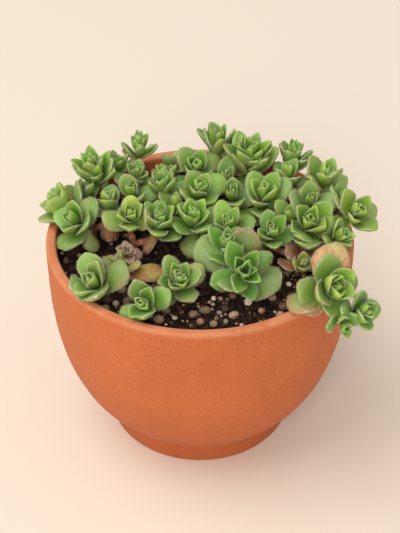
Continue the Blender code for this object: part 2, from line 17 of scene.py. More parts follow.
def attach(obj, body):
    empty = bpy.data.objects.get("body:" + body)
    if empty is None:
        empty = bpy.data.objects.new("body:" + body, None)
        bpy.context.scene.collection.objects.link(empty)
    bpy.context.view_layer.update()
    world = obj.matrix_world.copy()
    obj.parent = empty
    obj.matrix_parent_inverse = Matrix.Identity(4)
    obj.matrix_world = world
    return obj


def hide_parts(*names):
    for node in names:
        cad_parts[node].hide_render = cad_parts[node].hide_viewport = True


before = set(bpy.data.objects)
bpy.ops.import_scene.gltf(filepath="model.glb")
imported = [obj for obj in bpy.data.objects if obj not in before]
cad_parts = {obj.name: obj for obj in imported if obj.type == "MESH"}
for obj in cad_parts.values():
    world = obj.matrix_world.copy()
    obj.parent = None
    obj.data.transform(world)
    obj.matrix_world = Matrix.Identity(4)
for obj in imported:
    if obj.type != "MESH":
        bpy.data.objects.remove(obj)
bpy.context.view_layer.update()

bl_info = {
    "name": "Potted crassula",
    "version": (1, 0, 0),
    "blender": (4, 5, 0),
    "location": "3D View > Sidebar > Crassula",
    "description": "Builds a potted crassula's visible pieces, its floor, lights and camera",
    "category": "Object",
}

METRES = 0.001

# The bowl
POT_HEIGHT = 110.0
RIM_RADIUS = 75.0
WALL = 5.0
LIP_ROUND = 1.7
FOOT_RADIUS = 46.5
FOOT_HEIGHT = 12.0
FOOT_EDGE = 1.0
BOWL_REACH = 117.3
BOWL_POWER = 3.04
TUCK_HEIGHT = 30.0
TUCK = 1.4
FLOOR_HEIGHT = 19.0
INNER_HEIGHTS = (98, 90, 80, 70, 60, 51, 43, 36, 30, 25, 21, 17)
THROWING_LINES = 0.05
THROWING_WAVES = 0.18
PLAIN_LIP = 3
SHARP_ANGLE = 40

# The soil
SOIL_DROP = 10.0
SOIL_MOUND = 2.5
SOIL_RELIEF = 0.7
SOIL_HEIGHTS = (90, 70, 50, 36, 25, 18)
CRUMB_WAVES = 0.33
CRUMB_RELIEF = 0.85
CRUMB_SINK = 0.5
CRUMB_SIZES = (0.8, 1.1, 1.5, 2.0, 2.6)
SMALL_GRANULES = (0.9, 1.2, 1.6, 2.2, 3.0, 4.2)
GRANULE_SIZE = 5.4
GRANULE_COUNT = 26
GRANULES_APART = 5.2
STEM_CLEARANCE = 9

# The stems and leaves
GAP = 0.3
TRUNK_RADIUS = 2.6
BRANCH_RADIUS = 2.1
TIP_RADIUS = 1.6
NECK_BARE = 2.6
TRUNK_DEPTH = 12.0
TRUNK_RISE = 3.0
TRUNK_CROWN = 1.2
STALK_RADIUS = 1.2
STEM_SIDES = 5
BRANCH_SIDES = 4
BRANCH_STEPS = 3

# How a head's pairs turn, spread, rise, shorten and thicken. A head with leaves shorter than
# SMALL_HEAD has plainer ones, and an old leaf longer than HOLLOWED_OVER is hollowed
PAIR_TWIST = 28
PAIR_SPACING = 0.08
INNER_RISE = 66
OUTER_LENGTH = 1.12
INNER_LENGTH = 0.74
LEAF_THICK = 0.9
LEAF_THICKER = 0.065
SMALL_HEAD = 15.5
HOLLOWED_OVER = 15

# How old and how warm a head's leaves look
FRESH = "leaf_fresh"
GREY = "leaf_grey"
OLIVE = "leaf_olive"
ROSY = "leaf_rosy"

Trunk = namedtuple("Trunk", "name x y")
TRUNKS = [Trunk(*row) for row in (
    ("stem_back_left", -38, 38),
    ("stem_left", -53, 9),
    ("stem_mid_left", -32, -3),
    ("stem_front_left", -45, -28),
    ("stem_front", -21, -38),
    ("stem_front_mid", 15, -19),
    ("stem_middle", -6, 13),
    ("stem_back", 1, 53),
    ("stem_back_right", 36, 47),
    ("stem_right", 44, 19),
    ("stem_right_edge", 59, 29),
    ("stem_mid_right", 46, -14),
    ("stem_front_right", 47, -33),
)]

# on: the trunk that carries the head, or the head that it springs from. x, y: its heart.
# above: the heart's height over the rim. leaf: length of the lowest leaves. lean: how far
# it leans from upright, toward a compass angle. turn: compass angle of the lowest pair.
# pairs: how many pairs of leaves it has. cup: how steeply the lowest pair rises. slim: a
# leaf's width as a share of its length. tone: how its leaves look
Head = namedtuple("Head", "name on x y above leaf lean toward turn pairs cup slim tone")
HEADS = [Head(*row) for row in (
    ("head_big_front", "stem_front_mid", 18, -31, 5, 20, 34, -84, -30, 4, 8, 0.76, GREY),
    ("shoot_big_back", "head_big_front", 13, -24, 8.5, 14.5, 14, -110, 60, 4, 32, 0.54, FRESH),
    ("shoot_big_front", "head_big_front", 19.5, -39.5, 7.5, 16, 46, -78, 30, 5, 20, 0.52, FRESH),
    ("head_over_rim", "stem_front_right", 58.5, -53, 9.5, 16.5, 52, -58, 20, 5, 12, 0.74, FRESH),
    ("shoot_rim_right", "head_over_rim", 72, -61, 2, 12, 58, -50, 10, 4, 20, 0.7, FRESH),
    ("shoot_rim_low", "head_over_rim", 64, -66.5, 0.5, 9.5, 84, -74, 30, 3, 25, 0.62, FRESH),
    ("head_front_left", "stem_front_left", -48, -43, 2.5, 16, 32, -130, 20, 4, 16, 0.74, GREY),
    ("head_front", "stem_front", -25, -57, 2, 14, 42, -105, 20, 4, 18, 0.68, FRESH),
    ("head_front_mid", "stem_front", -10, -41, 2.5, 15, 28, -78, 40, 4, 15, 0.64, GREY),
    ("head_low_left", "stem_front_left", -37, -26, 0.5, 11, 20, 200, -20, 2, 25, 0.5, OLIVE),
    ("head_right", "stem_mid_right", 52, -6, 9, 18, 28, -85, 15, 5, 14, 0.68, FRESH),
    ("head_side_right", "stem_mid_right", 65, -13, 7, 11, 45, -30, 30, 3, 25, 0.65, FRESH),
    ("head_mid_right", "stem_mid_right", 34, -8, 5, 14, 22, -85, 5, 4, 18, 0.66, FRESH),
    ("bud_yellow", "stem_mid_right", 49, -24, -0.5, 8, 30, -90, 0, 3, 45, 0.7, OLIVE),
    ("head_edge_left", "stem_left", -59, -1, 7, 15, 36, -140, 45, 4, 18, 0.74, FRESH),
    ("head_far_left", "stem_left", -66, 12, 7, 15, 46, 178, 15, 4, 16, 0.64, FRESH),
    ("head_left_mid", "stem_left", -45, 15, 5, 13, 10, 90, 0, 3, 15, 0.74, GREY),
    ("head_bright_left", "stem_mid_left", -34, 2, 8, 13, 25, -80, 5, 4, 18, 0.74, FRESH),
    ("head_grey_left", "stem_back_left", -33, 20, 8, 14, 15, -120, 30, 3, 16, 0.78, GREY),
    ("head_mid_left", "stem_mid_left", -20, -2, 7, 14, 14, -70, 0, 4, 22, 0.6, FRESH),
    ("head_erect", "stem_middle", -19, 23, 9, 14, 6, -90, 10, 4, 25, 0.5, FRESH),
    ("head_middle", "stem_middle", -3, 0, 7, 15, 12, -95, 30, 4, 20, 0.64, FRESH),
    ("head_round", "stem_middle", 0, 22, 9, 14, 20, -85, 40, 4, 18, 0.76, FRESH),
    ("head_centre", "stem_front_mid", 13, -5, 7, 14, 14, -90, 20, 4, 20, 0.66, FRESH),
    ("head_cup", "stem_back", -2, 44, 7, 14, 24, -95, 45, 4, 14, 0.76, FRESH),
    ("head_spiky_back", "stem_back", 9, 56, 13, 16, 8, 90, 20, 4, 40, 0.42, FRESH),
    ("head_low_back", "stem_back", -14, 57, 0, 11, 25, 120, 0, 3, 18, 0.64, GREY),
    ("head_tall_right", "stem_back_right", 25, 44, 12, 19, 10, -80, 30, 5, 38, 0.5, FRESH),
    ("head_behind", "stem_back_right", 27, 61, 4, 14, 30, 75, 10, 3, 15, 0.66, GREY),
    ("head_spiky_right", "stem_back_right", 47, 47, 10, 13, 15, 40, 35, 4, 26, 0.5, OLIVE),
    ("head_grey_right", "stem_right", 43, 33, 8, 14, 12, 70, 20, 4, 18, 0.66, GREY),
    ("head_wide_right", "stem_right", 31, 16, 9, 17, 14, -90, 30, 5, 16, 0.66, FRESH),
    ("head_small_right", "stem_right", 54, 12, 8, 14, 20, -80, 0, 3, 20, 0.72, GREY),
    ("head_edge_right", "stem_right_edge", 61, 31, 9, 16, 20, -20, 35, 4, 18, 0.68, FRESH),
    ("head_grey_edge", "stem_right_edge", 68, 17, 5, 13, 30, 15, 10, 3, 18, 0.66, GREY),
    ("head_far_right", "stem_mid_right", 74, 0, 11, 14.5, 36, -52, 40, 4, 18, 0.7, FRESH),
    ("head_long_left", "stem_back_left", -52, 34, 10, 17, 12, -150, 15, 5, 28, 0.48, FRESH),
    ("head_spiky_left", "stem_back_left", -31, 53, 13, 11.5, 6, 60, 10, 4, 40, 0.46, FRESH),
    ("bud_left", "stem_back_left", -42, 45, 8, 10, 8, 90, 30, 3, 30, 0.5, FRESH),
    ("head_small_left", "stem_back_left", -32, 36, 7, 12, 12, -60, 0, 3, 20, 0.64, GREY),
    ("head_low_mid", "stem_back_left", -17, 41, 2, 12, 15, 60, 20, 3, 16, 0.64, GREY),
    ("low_back_middle", "stem_back", 13, 37, 4, 14, 15, -60, 10, 3, 10, 0.7, GREY),
    ("low_middle", "stem_middle", -11, 11, 6, 13, 10, 120, 50, 3, 10, 0.7, GREY),
    ("low_right", "stem_right", 44, 5, 4, 13, 15, -100, 40, 3, 10, 0.7, GREY),
    ("low_centre", "stem_right", 17, 22, 5, 14, 15, -120, 20, 3, 10, 0.7, GREY),
    ("low_left", "stem_left", -58, 25, 4, 13, 20, 150, 60, 3, 12, 0.7, GREY),
    ("stump_left", "stem_mid_left", -35, -16, 0.5, 8.5, 25, -80, 20, 3, 10, 0.6, ROSY),
)]

# A single older leaf low on a head's neck: its compass angle, its rise above the level, its
# size and which of the aged looks it has
OldLeaf = namedtuple("OldLeaf", "head toward rise length width look")
OLD_LEAVES = [OldLeaf(*row) for row in (
    ("head_over_rim", 62, 50, 23, 18, "peach"),
    ("head_over_rim", 222, -22, 20, 15, "edged"),
    ("head_over_rim", 247, -30, 16, 11, "edged"),
    ("head_edge_left", 70, 62, 15, 12, "green"),
    ("head_edge_left", -55, -38, 13, 8, "green"),
    ("head_left_mid", -88, -28, 17, 9, "brown"),
    ("head_low_left", -18, 12, 22, 14, "streaked"),
    ("head_mid_left", 215, -48, 13, 6, "brown"),
    ("head_small_right", 100, 58, 13, 11, "green"),
    ("head_centre", 62, 55, 12, 9, "pink"),
    ("head_middle", -100, -38, 15, 11, "green"),
    ("head_front_mid", 95, 25, 12, 9, "pink"),
    ("head_round", -25, -5, 14, 8, "pink"),
    ("head_tall_right", 150, 66, 14, 6, "green"),
    ("head_tall_right", 215, 0, 13, 7, "pink"),
    ("bud_yellow", 130, 42, 14, 9, "dried"),
    ("bud_yellow", 185, 24, 13, 8, "dried"),
    ("bud_yellow", 60, 30, 12, 7, "dried"),
    ("head_edge_right", -65, -5, 15, 7, "pink"),
    ("head_far_right", 175, 68, 15, 6, "green"),
    ("head_spiky_left", 190, 35, 11, 6, "pink"),
)]

# Heads whose own innermost pairs give way to the shoots in them: how many pairs are left
OPENED = {"head_big_front": 2}

# How a leaf may be bent clear of its neighbours: lift, turn, share of its length
BENDS = sorted(
    (
        (lift, turn, share)
        for lift in (0, 10, -10, 20, 32, 45, -22)
        for turn in (0, 12, -12, 24, -24, 38, -38)
        for share in (1.0, 0.88, 0.76, 0.64, 0.52)
    ),
    key=lambda bend: abs(bend[0]) / 14 + abs(bend[1]) / 16 + (1 - bend[2]) * 7,
)

# Where a leaf is widest and where the rough shape's sections lie, as shares of its length
WIDEST = 0.62
SECTIONS = {
    "inner": (0.55,),
    "small": (0.32, 0.74),
    "plain": (0.25, 0.62, 0.88),
    "hollowed": (0.25, 0.62, 0.88),
}

# How a leaf of the head's own pairs is made, and a leaf between them or folded in the heart.
# pair_turn, turn, rise: how far chance turns a pair and turns and lifts a leaf, in degrees.
# shortest, longest: what chance makes of its length. inset: how far out it grows. The others
# are its thickness, curl, breadth and hollow
Sort = namedtuple(
    "Sort", "pair_turn turn rise shortest longest stout inset curl inner_curl broad hollow"
)
PAIRED = Sort(8, 7, 5, 0.92, 1.08, 1, 0.4, 10, 12, 1.08, 0.16)
FULLER = Sort(12, 10, 8, 0.84, 1.06, 0.85, 0.35, 14, 14, 1.1, 0.18)

# How far a pair between two others turns. How long each folded pair is beside the one outside
# it, and how much more it rises, in degrees, and stands up the axis. How many bends they try
BETWEEN_TURN = 10
FOLDED_SHARE = 0.8
FOLDED_RISE = 6
FOLDED_HEIGHT = 0.9
SMALL_BENDS = 70

# Points round and along the finer shapes
LEAF_ROUND = 12
LEAF_ALONG = 8
TURNED_SIDES = 144
WALL_STEPS = 34
SOIL_STEPS = 62
STEM_ROUND = 12
STEM_RINGS = 14
BRANCH_RINGS = 22
HAIRS = 18
HAIR_LENGTH = 0.95
HAIR_WIDTH = 0.24
HAIR_SUNK = 0.08

# How far from the middle crumbs and small granules lie, and how many places are tried
LOOSE_REACH = 68
LOOSE_TRIES = 20000

# The compass angle of the front, and how far to each side of it more of the large and of the
# small granules lie
FRONT = 270
LARGE_SPREAD = 70
SMALL_SPREAD = 75

# How near a leaf's neighbours must come for painted shade to darken its colour, in metres
CREVICE_SHADE_REACH = 0.008

# The camera, in metres and degrees: what it looks at, from how far and how high, and its turn
VIEW_HEIGHT = 0.0897
VIEW_DISTANCE = 0.7
VIEW_RISE = 38.45
VIEW_TURN = -0.1

# The light's colour, the even light's, and the height that the lamps point at, in metres
LAMP_COLOUR = (1.0, 0.965, 0.92)
SKY_COLOUR = (1.0, 0.97, 0.92)
LAMP_AIM = 0.08
FLOOR_REACH = 8


def srgb(red, green, blue):
    """The linear colour of a colour named in 0 to 255."""
    def linear(value):
        value /= 255
        return value / 12.92 if value < 0.04045 else ((value + 0.055) / 1.055) ** 2.4
    return (linear(red), linear(green), linear(blue))


def blend(first, second, share):
    """A colour a share of the way from the first to the second."""
    share = min(max(share, 0), 1)
    return tuple(a + (b - a) * share for a, b in zip(first, second))


def compass(angle, rise=0.0):
    """The unit vector at a compass angle, raised above the level."""
    level = math.cos(math.radians(rise))
    return Vector((
        level * math.cos(math.radians(angle)),
        level * math.sin(math.radians(angle)),
        math.sin(math.radians(rise)),
    ))


def bowl_radius(height):
    """The bowl's outer radius at a height, tucked in a little over the foot."""
    tuck = TUCK * (max(0, TUCK_HEIGHT - height) / (TUCK_HEIGHT - FOOT_HEIGHT)) ** 2
    return RIM_RADIUS * math.sqrt(1 - ((POT_HEIGHT - height) / BOWL_REACH) ** BOWL_POWER) - tuck


def wall_point(height, depth):
    """The point a depth inside the bowl's outer face, square to it, as (radius, height)."""
    step = 0.01
    slope = (bowl_radius(height) - bowl_radius(height - step)) / step
    length = math.hypot(1, slope)
    return bowl_radius(height) - depth / length, height + depth * slope / length


def arc(centre, radius, start, end, steps):
    """Points on a circular arc in the profile's plane."""
    angles = [math.radians(start + (end - start) * i / steps) for i in range(steps + 1)]
    return [(centre[0] + radius * math.cos(a), centre[1] + radius * math.sin(a)) for a in angles]


def soil_height(x, y):
    """The height of the soil's surface, without crumbs or granules."""
    reach = min(math.hypot(x, y) / (RIM_RADIUS - WALL), 1)
    ripple = math.sin(x * 0.31 + 1.3) * math.cos(y * 0.27) + 0.6 * math.sin(x * 0.71 - y * 0.53)
    mound = SOIL_MOUND * (1 - reach ** 2)
    return POT_HEIGHT - SOIL_DROP + mound + SOIL_RELIEF * ripple * min(1, 3 * (1 - reach))


# The planting's rough shapes, from which each leaf's place is found

Skin = namedtuple("Skin", "points faces")


def loft(rings, ends=None):
    """A closed skin through rings of points, with flat ends or running to two end points."""
    sides = len(rings[0])
    points = [point for ring in rings for point in ring]
    faces = []
    for row in range(len(rings) - 1):
        for side in range(sides):
            a = row * sides + side
            b = row * sides + (side + 1) % sides
            faces.append((a, b, b + sides, a + sides))
    last = (len(rings) - 1) * sides
    if ends is None:
        faces.append(tuple(reversed(range(sides))))
        faces.append(tuple(range(last, last + sides)))
    else:
        root = len(points)
        points += ends
        for side in range(sides):
            after = (side + 1) % sides
            faces.append((after, side, root))
            faces.append((last + side, last + after, root + 1))
    return Skin(points, faces)


def ring(centre, axis, radius, sides):
    """A ring of points round an axis, running anticlockwise seen from its far end."""
    turn = Vector((0, 0, 1)).rotation_difference(axis).to_matrix()
    angles = [math.tau * i / sides for i in range(sides)]
    return [centre + turn @ Vector((radius * math.cos(a), radius * math.sin(a), 0)) for a in angles]


def rough_tube(path, radii, sides, facing=None):
    """A closed tube along a path. Its last end may face another way than the path."""
    ways = [path[1] - path[0]]
    ways += [after - before for before, after in zip(path, path[2:])]
    ways.append(facing or path[-1] - path[-2])
    return loft([ring(p, way.normalized(), r, sides) for p, way, r in zip(path, ways, radii)])


# root: the point that a leaf grows from. out: its way outwards. axis: its head's axis. rise,
# curl: how steeply it starts and how far it curls up. hollow: how far its edges stand up, as a
# share of its half width. cut: its rough shape's sections. age: 1 for the lowest, 0 innermost
Leaf = namedtuple("Leaf", "root out axis rise curl length width thick hollow cut age look")


def outline(along):
    """A leaf's width at a share of its length, as a share of its greatest width."""
    if along < WIDEST:
        return math.sin(math.pi / 2 * (0.25 + 0.75 * along / WIDEST))
    fall = (along - WIDEST) / (1 - WIDEST)
    return math.sqrt(max(0, 1 - fall ** 2.1))


def midrib(leaf, along):
    """The point on a leaf's midrib at a share of its length, and the leaf's normal there."""
    start = math.radians(leaf.rise)
    bend = math.radians(leaf.curl)
    angle = start + bend * along
    if abs(bend) < 0.01:
        across = leaf.length * along * math.cos(start)
        up = leaf.length * along * math.sin(start)
    else:
        across = leaf.length / bend * (math.sin(angle) - math.sin(start))
        up = leaf.length / bend * (math.cos(start) - math.cos(angle))
    normal = leaf.axis * math.cos(angle) - leaf.out * math.sin(angle)
    return leaf.root + leaf.out * across + leaf.axis * up, normal


def rough_leaf(leaf, margin=0.0):
    """A leaf's rough shape, let out by a margin."""
    sideways = leaf.axis.cross(leaf.out)
    rings = []
    for along in SECTIONS[leaf.cut]:
        spine, normal = midrib(leaf, along)
        half = leaf.width / 2 * outline(along)
        thick = leaf.thick * (0.4 + 0.6 * outline(along))
        edge = normal * (leaf.hollow * half)
        section = [
            spine + edge - sideways * (half + margin),
            spine - normal * (thick + margin),
            spine + edge + sideways * (half + margin),
        ]
        if leaf.cut == "hollowed":
            section.append(spine + normal * margin)
        rings.append(section)
    spine, normal = midrib(leaf, 1)
    reach = (spine - midrib(leaf, 0.97)[0]).normalized()
    tip = spine + normal * (leaf.hollow * leaf.width * 0.12) + reach * margin
    return loft(rings, [leaf.root, tip])


def head_axis(head):
    """The direction that a head faces."""
    return compass(head.toward, 90 - head.lean)


def heart(head):
    """The point from which a head's innermost leaves rise."""
    return Vector((head.x, head.y, POT_HEIGHT + head.above))


def first_way(head):
    """The direction of a head's lowest pair, square to its axis."""
    axis = head_axis(head)
    level = compass(head.turn)
    return (level - axis * level.dot(axis)).normalized()


def neck_length(head):
    """How far a head's leaves are spread down its axis, below its heart."""
    return 1.5 + PAIR_SPACING * head.leaf * (head.pairs - 1)


def neck_base(head):
    """The foot of a head's neck, which its stem carries."""
    return heart(head) - head_axis(head) * (neck_length(head) + NECK_BARE)


def leaf_pair(head, sort, number, spiky, cut, draw):
    """Two opposite leaves of a head. number: 0 for its lowest pair, up to the folded ones."""
    axis = head_axis(head)
    inward = min(number / (head.pairs - 1), 1)
    folded = max(0, number - head.pairs + 1)
    turn = 90 * number + PAIR_TWIST * (int(number) // 2)
    turn += draw.uniform(-sort.pair_turn, sort.pair_turn)
    if number % 1:
        turn += BETWEEN_TURN
    inner_length = INNER_LENGTH + 0.16 * spiky
    pair = []
    for side in (0, 180):
        angle = turn + side + draw.uniform(-sort.turn, sort.turn)
        share = OUTER_LENGTH + (inner_length - OUTER_LENGTH) * inward ** 2
        shorter = (FOLDED_SHARE + 0.1 * spiky) ** folded
        length = head.leaf * share * draw.uniform(sort.shortest, sort.longest) * shorter
        rise = head.cup + (INNER_RISE - 4 * spiky - head.cup) * inward + FOLDED_RISE * folded
        thick = sort.stout * (LEAF_THICK + LEAF_THICKER * length)
        way = Matrix.Rotation(math.radians(angle), 3, axis) @ first_way(head)
        below = neck_length(head) * (1 - inward) - FOLDED_HEIGHT * folded
        pair.append(Leaf(
            root=heart(head) - axis * below + way * (sort.inset * thick * inward),
            out=way, axis=axis, rise=rise + draw.uniform(-sort.rise, sort.rise),
            curl=(sort.curl + sort.inner_curl * inward) * (1 - 0.8 * spiky), length=length,
            width=length * head.slim * (sort.broad - 0.2 * inward), thick=thick,
            hollow=sort.hollow + 0.4 * inward, cut=cut, age=1 - inward, look=head.tone,
        ))
    return pair


def head_leaves(head):
    """A head's pairs of leaves, lowest first, each pair across the one below it."""
    draw = random.Random(head.name)
    pairs = []
    for number in range(head.pairs):
        if number == head.pairs - 1:
            cut = "inner"
        elif number > head.pairs - 4 or head.leaf < SMALL_HEAD:
            cut = "small"
        else:
            cut = "hollowed"
        pairs.append(leaf_pair(head, PAIRED, number, 0, cut, draw))
    return pairs[:OPENED.get(head.name, head.pairs)]


def fuller_leaves(head):
    """The leaves that stand between a head's pairs, and the small ones folded in its heart."""
    if head.name in OPENED:
        return []
    draw = random.Random(head.name + " inner")
    spiky = min(max((0.72 - head.slim) / 0.2, 0), 1)
    between = [number + 0.5 for number in range(1, head.pairs - 1)]
    if spiky < 0.3 or head.name.startswith("shoot"):
        between = []
    folded = [head.pairs, head.pairs + 1] if head.pairs > 3 else [head.pairs]
    leaves = []
    for number in between + folded:
        leaves += leaf_pair(head, FULLER, number, spiky, "inner", draw)
    return leaves


def old_leaf(old, head):
    """An older leaf on a head's neck, set by its compass angle and rise above the level."""
    root = neck_base(head) + head_axis(head) * (NECK_BARE - 0.4)
    return Leaf(
        root=root, out=compass(old.toward), axis=Vector((0, 0, 1)), rise=old.rise, curl=-14,
        length=old.length, width=old.width, thick=LEAF_THICK + LEAF_THICKER * old.length,
        hollow=0.12, cut="hollowed" if old.length > HOLLOWED_OVER else "plain",
        age=1, look=old.look,
    )


def bent(leaf, bend):
    """A leaf lifted, turned about its own axis and shortened."""
    lift, turn, share = bend
    way = Matrix.Rotation(math.radians(turn), 3, leaf.axis) @ leaf.out
    return leaf._replace(
        out=way, rise=leaf.rise + lift, length=leaf.length * share,
        width=leaf.width * (0.3 + 0.7 * share),
    )


def skin_tree(skin):
    """A search tree of a rough shape's faces."""
    return BVHTree.FromPolygons(skin.points, skin.faces)


def clear_leaf(leaf, obstacles, bends):
    """The leaf with the smallest bend that keeps it a gap away from every obstacle."""
    near = [
        tree for tree, centre, radius in obstacles
        if (centre - leaf.root).length < radius + leaf.length + 3
    ]
    for bend in bends:
        trial = bent(leaf, bend)
        skin = skin_tree(rough_leaf(trial, GAP + 0.1))
        if not any(skin.overlap(tree) for tree in near):
            return trial
    return None


def obstacle(skin):
    """A rough shape's search tree with a ball round it."""
    centre = sum(skin.points, Vector()) / len(skin.points)
    radius = max((point - centre).length for point in skin.points)
    return skin_tree(skin), centre, radius


def node_of(head):
    """The name of the head that a head belongs to: its own, or that which it springs from."""
    return head.on if head.on.startswith("head") else head.name


def neck_path(head):
    """The line of a head's neck, from its foot to among the innermost leaves."""
    axis = head_axis(head)
    base = neck_base(head)
    return [base, base + axis * NECK_BARE, heart(head) + axis * (0.35 * head.leaf)]


def shoot_path(head, parent):
    """The line of the stalk that joins a side shoot to the head it springs from."""
    start = heart(parent) - head_axis(parent) * neck_length(parent)
    return [start, neck_base(head) + head_axis(head) * 0.8]


def branch_point(trunk, head, share):
    """The point a share of the way along a branch's curve from its trunk's top."""
    start = Vector((trunk.x, trunk.y, soil_height(trunk.x, trunk.y) + TRUNK_RISE))
    end = neck_base(head) - head_axis(head) * GAP
    span = (end - start).length
    over_start = start + Vector((0, 0, 0.3 * span))
    before_end = end - head_axis(head) * (0.35 * span)
    left = 1 - share
    return (
        start * left ** 3 + over_start * (3 * share * left ** 2)
        + before_end * (3 * share ** 2 * left) + end * share ** 3
    )


def branches_of(trunk):
    """The heads that a trunk carries."""
    return [head for head in HEADS if head.on == trunk.name]


def trunk_ends(trunk):
    """The middles of a trunk's foot and of its top."""
    ground = soil_height(trunk.x, trunk.y)
    heights = (ground - TRUNK_DEPTH, ground + TRUNK_RISE + TRUNK_CROWN)
    return [Vector((trunk.x, trunk.y, height)) for height in heights]


def branch_radius(share):
    """A branch's radius at a share of its length."""
    return BRANCH_RADIUS + (TIP_RADIUS - BRANCH_RADIUS) * share


def stem_obstacles(trunk):
    """A trunk's and its branches' rough shapes, as obstacles."""
    foot, top = trunk_ends(trunk)
    skins = [rough_tube([foot, (foot + top) / 2, top], [TRUNK_RADIUS] * 3, STEM_SIDES)]
    for head in branches_of(trunk):
        shares = [i / BRANCH_STEPS for i in range(BRANCH_STEPS + 1)]
        path = [branch_point(trunk, head, share) for share in shares]
        radii = [branch_radius(share) for share in shares]
        skins.append(rough_tube(path, radii, BRANCH_SIDES, head_axis(head)))
    return [obstacle(skin) for skin in skins]


def node_tree(name):
    """A search tree of a node of the frame, in millimetres."""
    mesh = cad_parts[name].data
    points = [vert.co / METRES for vert in mesh.vertices]
    return BVHTree.FromPolygons(points, [tuple(face.vertices) for face in mesh.polygons])


def plan_leaves():
    """Every head's leaves, bent clear of what is planned before them, by the head's name."""
    middle = Vector((0, 0, POT_HEIGHT))
    fixed = [(node_tree(name), middle, 300) for name in ("pot", "soil")]
    for trunk in TRUNKS:
        fixed += stem_obstacles(trunk)
    radii = [TIP_RADIUS, TIP_RADIUS, 0.5 * TIP_RADIUS]
    necks = {
        head.name: obstacle(rough_tube(neck_path(head), radii, BRANCH_SIDES)) for head in HEADS
    }
    blades = {head.name: [] for head in HEADS}
    found = {head.name: [] for head in HEADS}

    def plant(head, leaves, bends):
        """Keeps the leaves of a head that can be bent clear of all the other heads."""
        others = [other.name for other in HEADS if node_of(other) != node_of(head)]
        obstacles = fixed + [blade for name in others for blade in blades[name]]
        obstacles += [necks[name] for name in others]
        for leaf in leaves:
            clear = clear_leaf(leaf, obstacles, bends)
            if clear:
                found[head.name].append(clear)
                blades[head.name].append(obstacle(rough_leaf(clear)))

    by_name = {head.name: head for head in HEADS}
    wanted = {head.name: head_leaves(head) for head in HEADS}
    # Each old leaf of a head puts the layer that holds them all one further out
    for old in OLD_LEAVES:
        wanted[old.head].insert(0, [])
    for old in OLD_LEAVES:
        wanted[old.head][0].append(old_leaf(old, by_name[old.head]))
    for layer in range(1, 1 + max(len(pairs) for pairs in wanted.values())):
        for head in HEADS:
            if layer <= len(wanted[head.name]):
                plant(head, wanted[head.name][-layer], BENDS)
    for head in HEADS:
        plant(head, fuller_leaves(head), BENDS[:SMALL_BENDS])
    return found


# Finishes

CLAY_SPECK = srgb(120, 62, 40)
# The painted shade in the crease over the foot
CLAY_CREASE_SHADE = srgb(96, 44, 24)
SOIL_DUST = srgb(46, 34, 28)
PUMICE_PORE = srgb(70, 50, 40)
PUMICE = [srgb(*colour) for colour in (
    (226, 194, 158), (204, 164, 130), (244, 228, 206), (204, 152, 126),
    (150, 114, 90), (104, 78, 62), (188, 156, 128),
)]
NECK_BROWN = srgb(150, 96, 70)


class Value:
    """A shader socket that takes part in sums."""

    def __init__(self, finish, socket):
        self.finish = finish
        self.socket = socket

    def sum(self, operation, first, second):
        """A Math node."""
        return self.finish.node("ShaderNodeMath", {"operation": operation}, first, second)

    def __add__(self, other):
        return self.sum("ADD", self, other)

    def __sub__(self, other):
        return self.sum("SUBTRACT", self, other)

    def __rsub__(self, other):
        return self.sum("SUBTRACT", other, self)

    def __mul__(self, other):
        return self.sum("MULTIPLY", self, other)

    __radd__ = __add__
    __rmul__ = __mul__


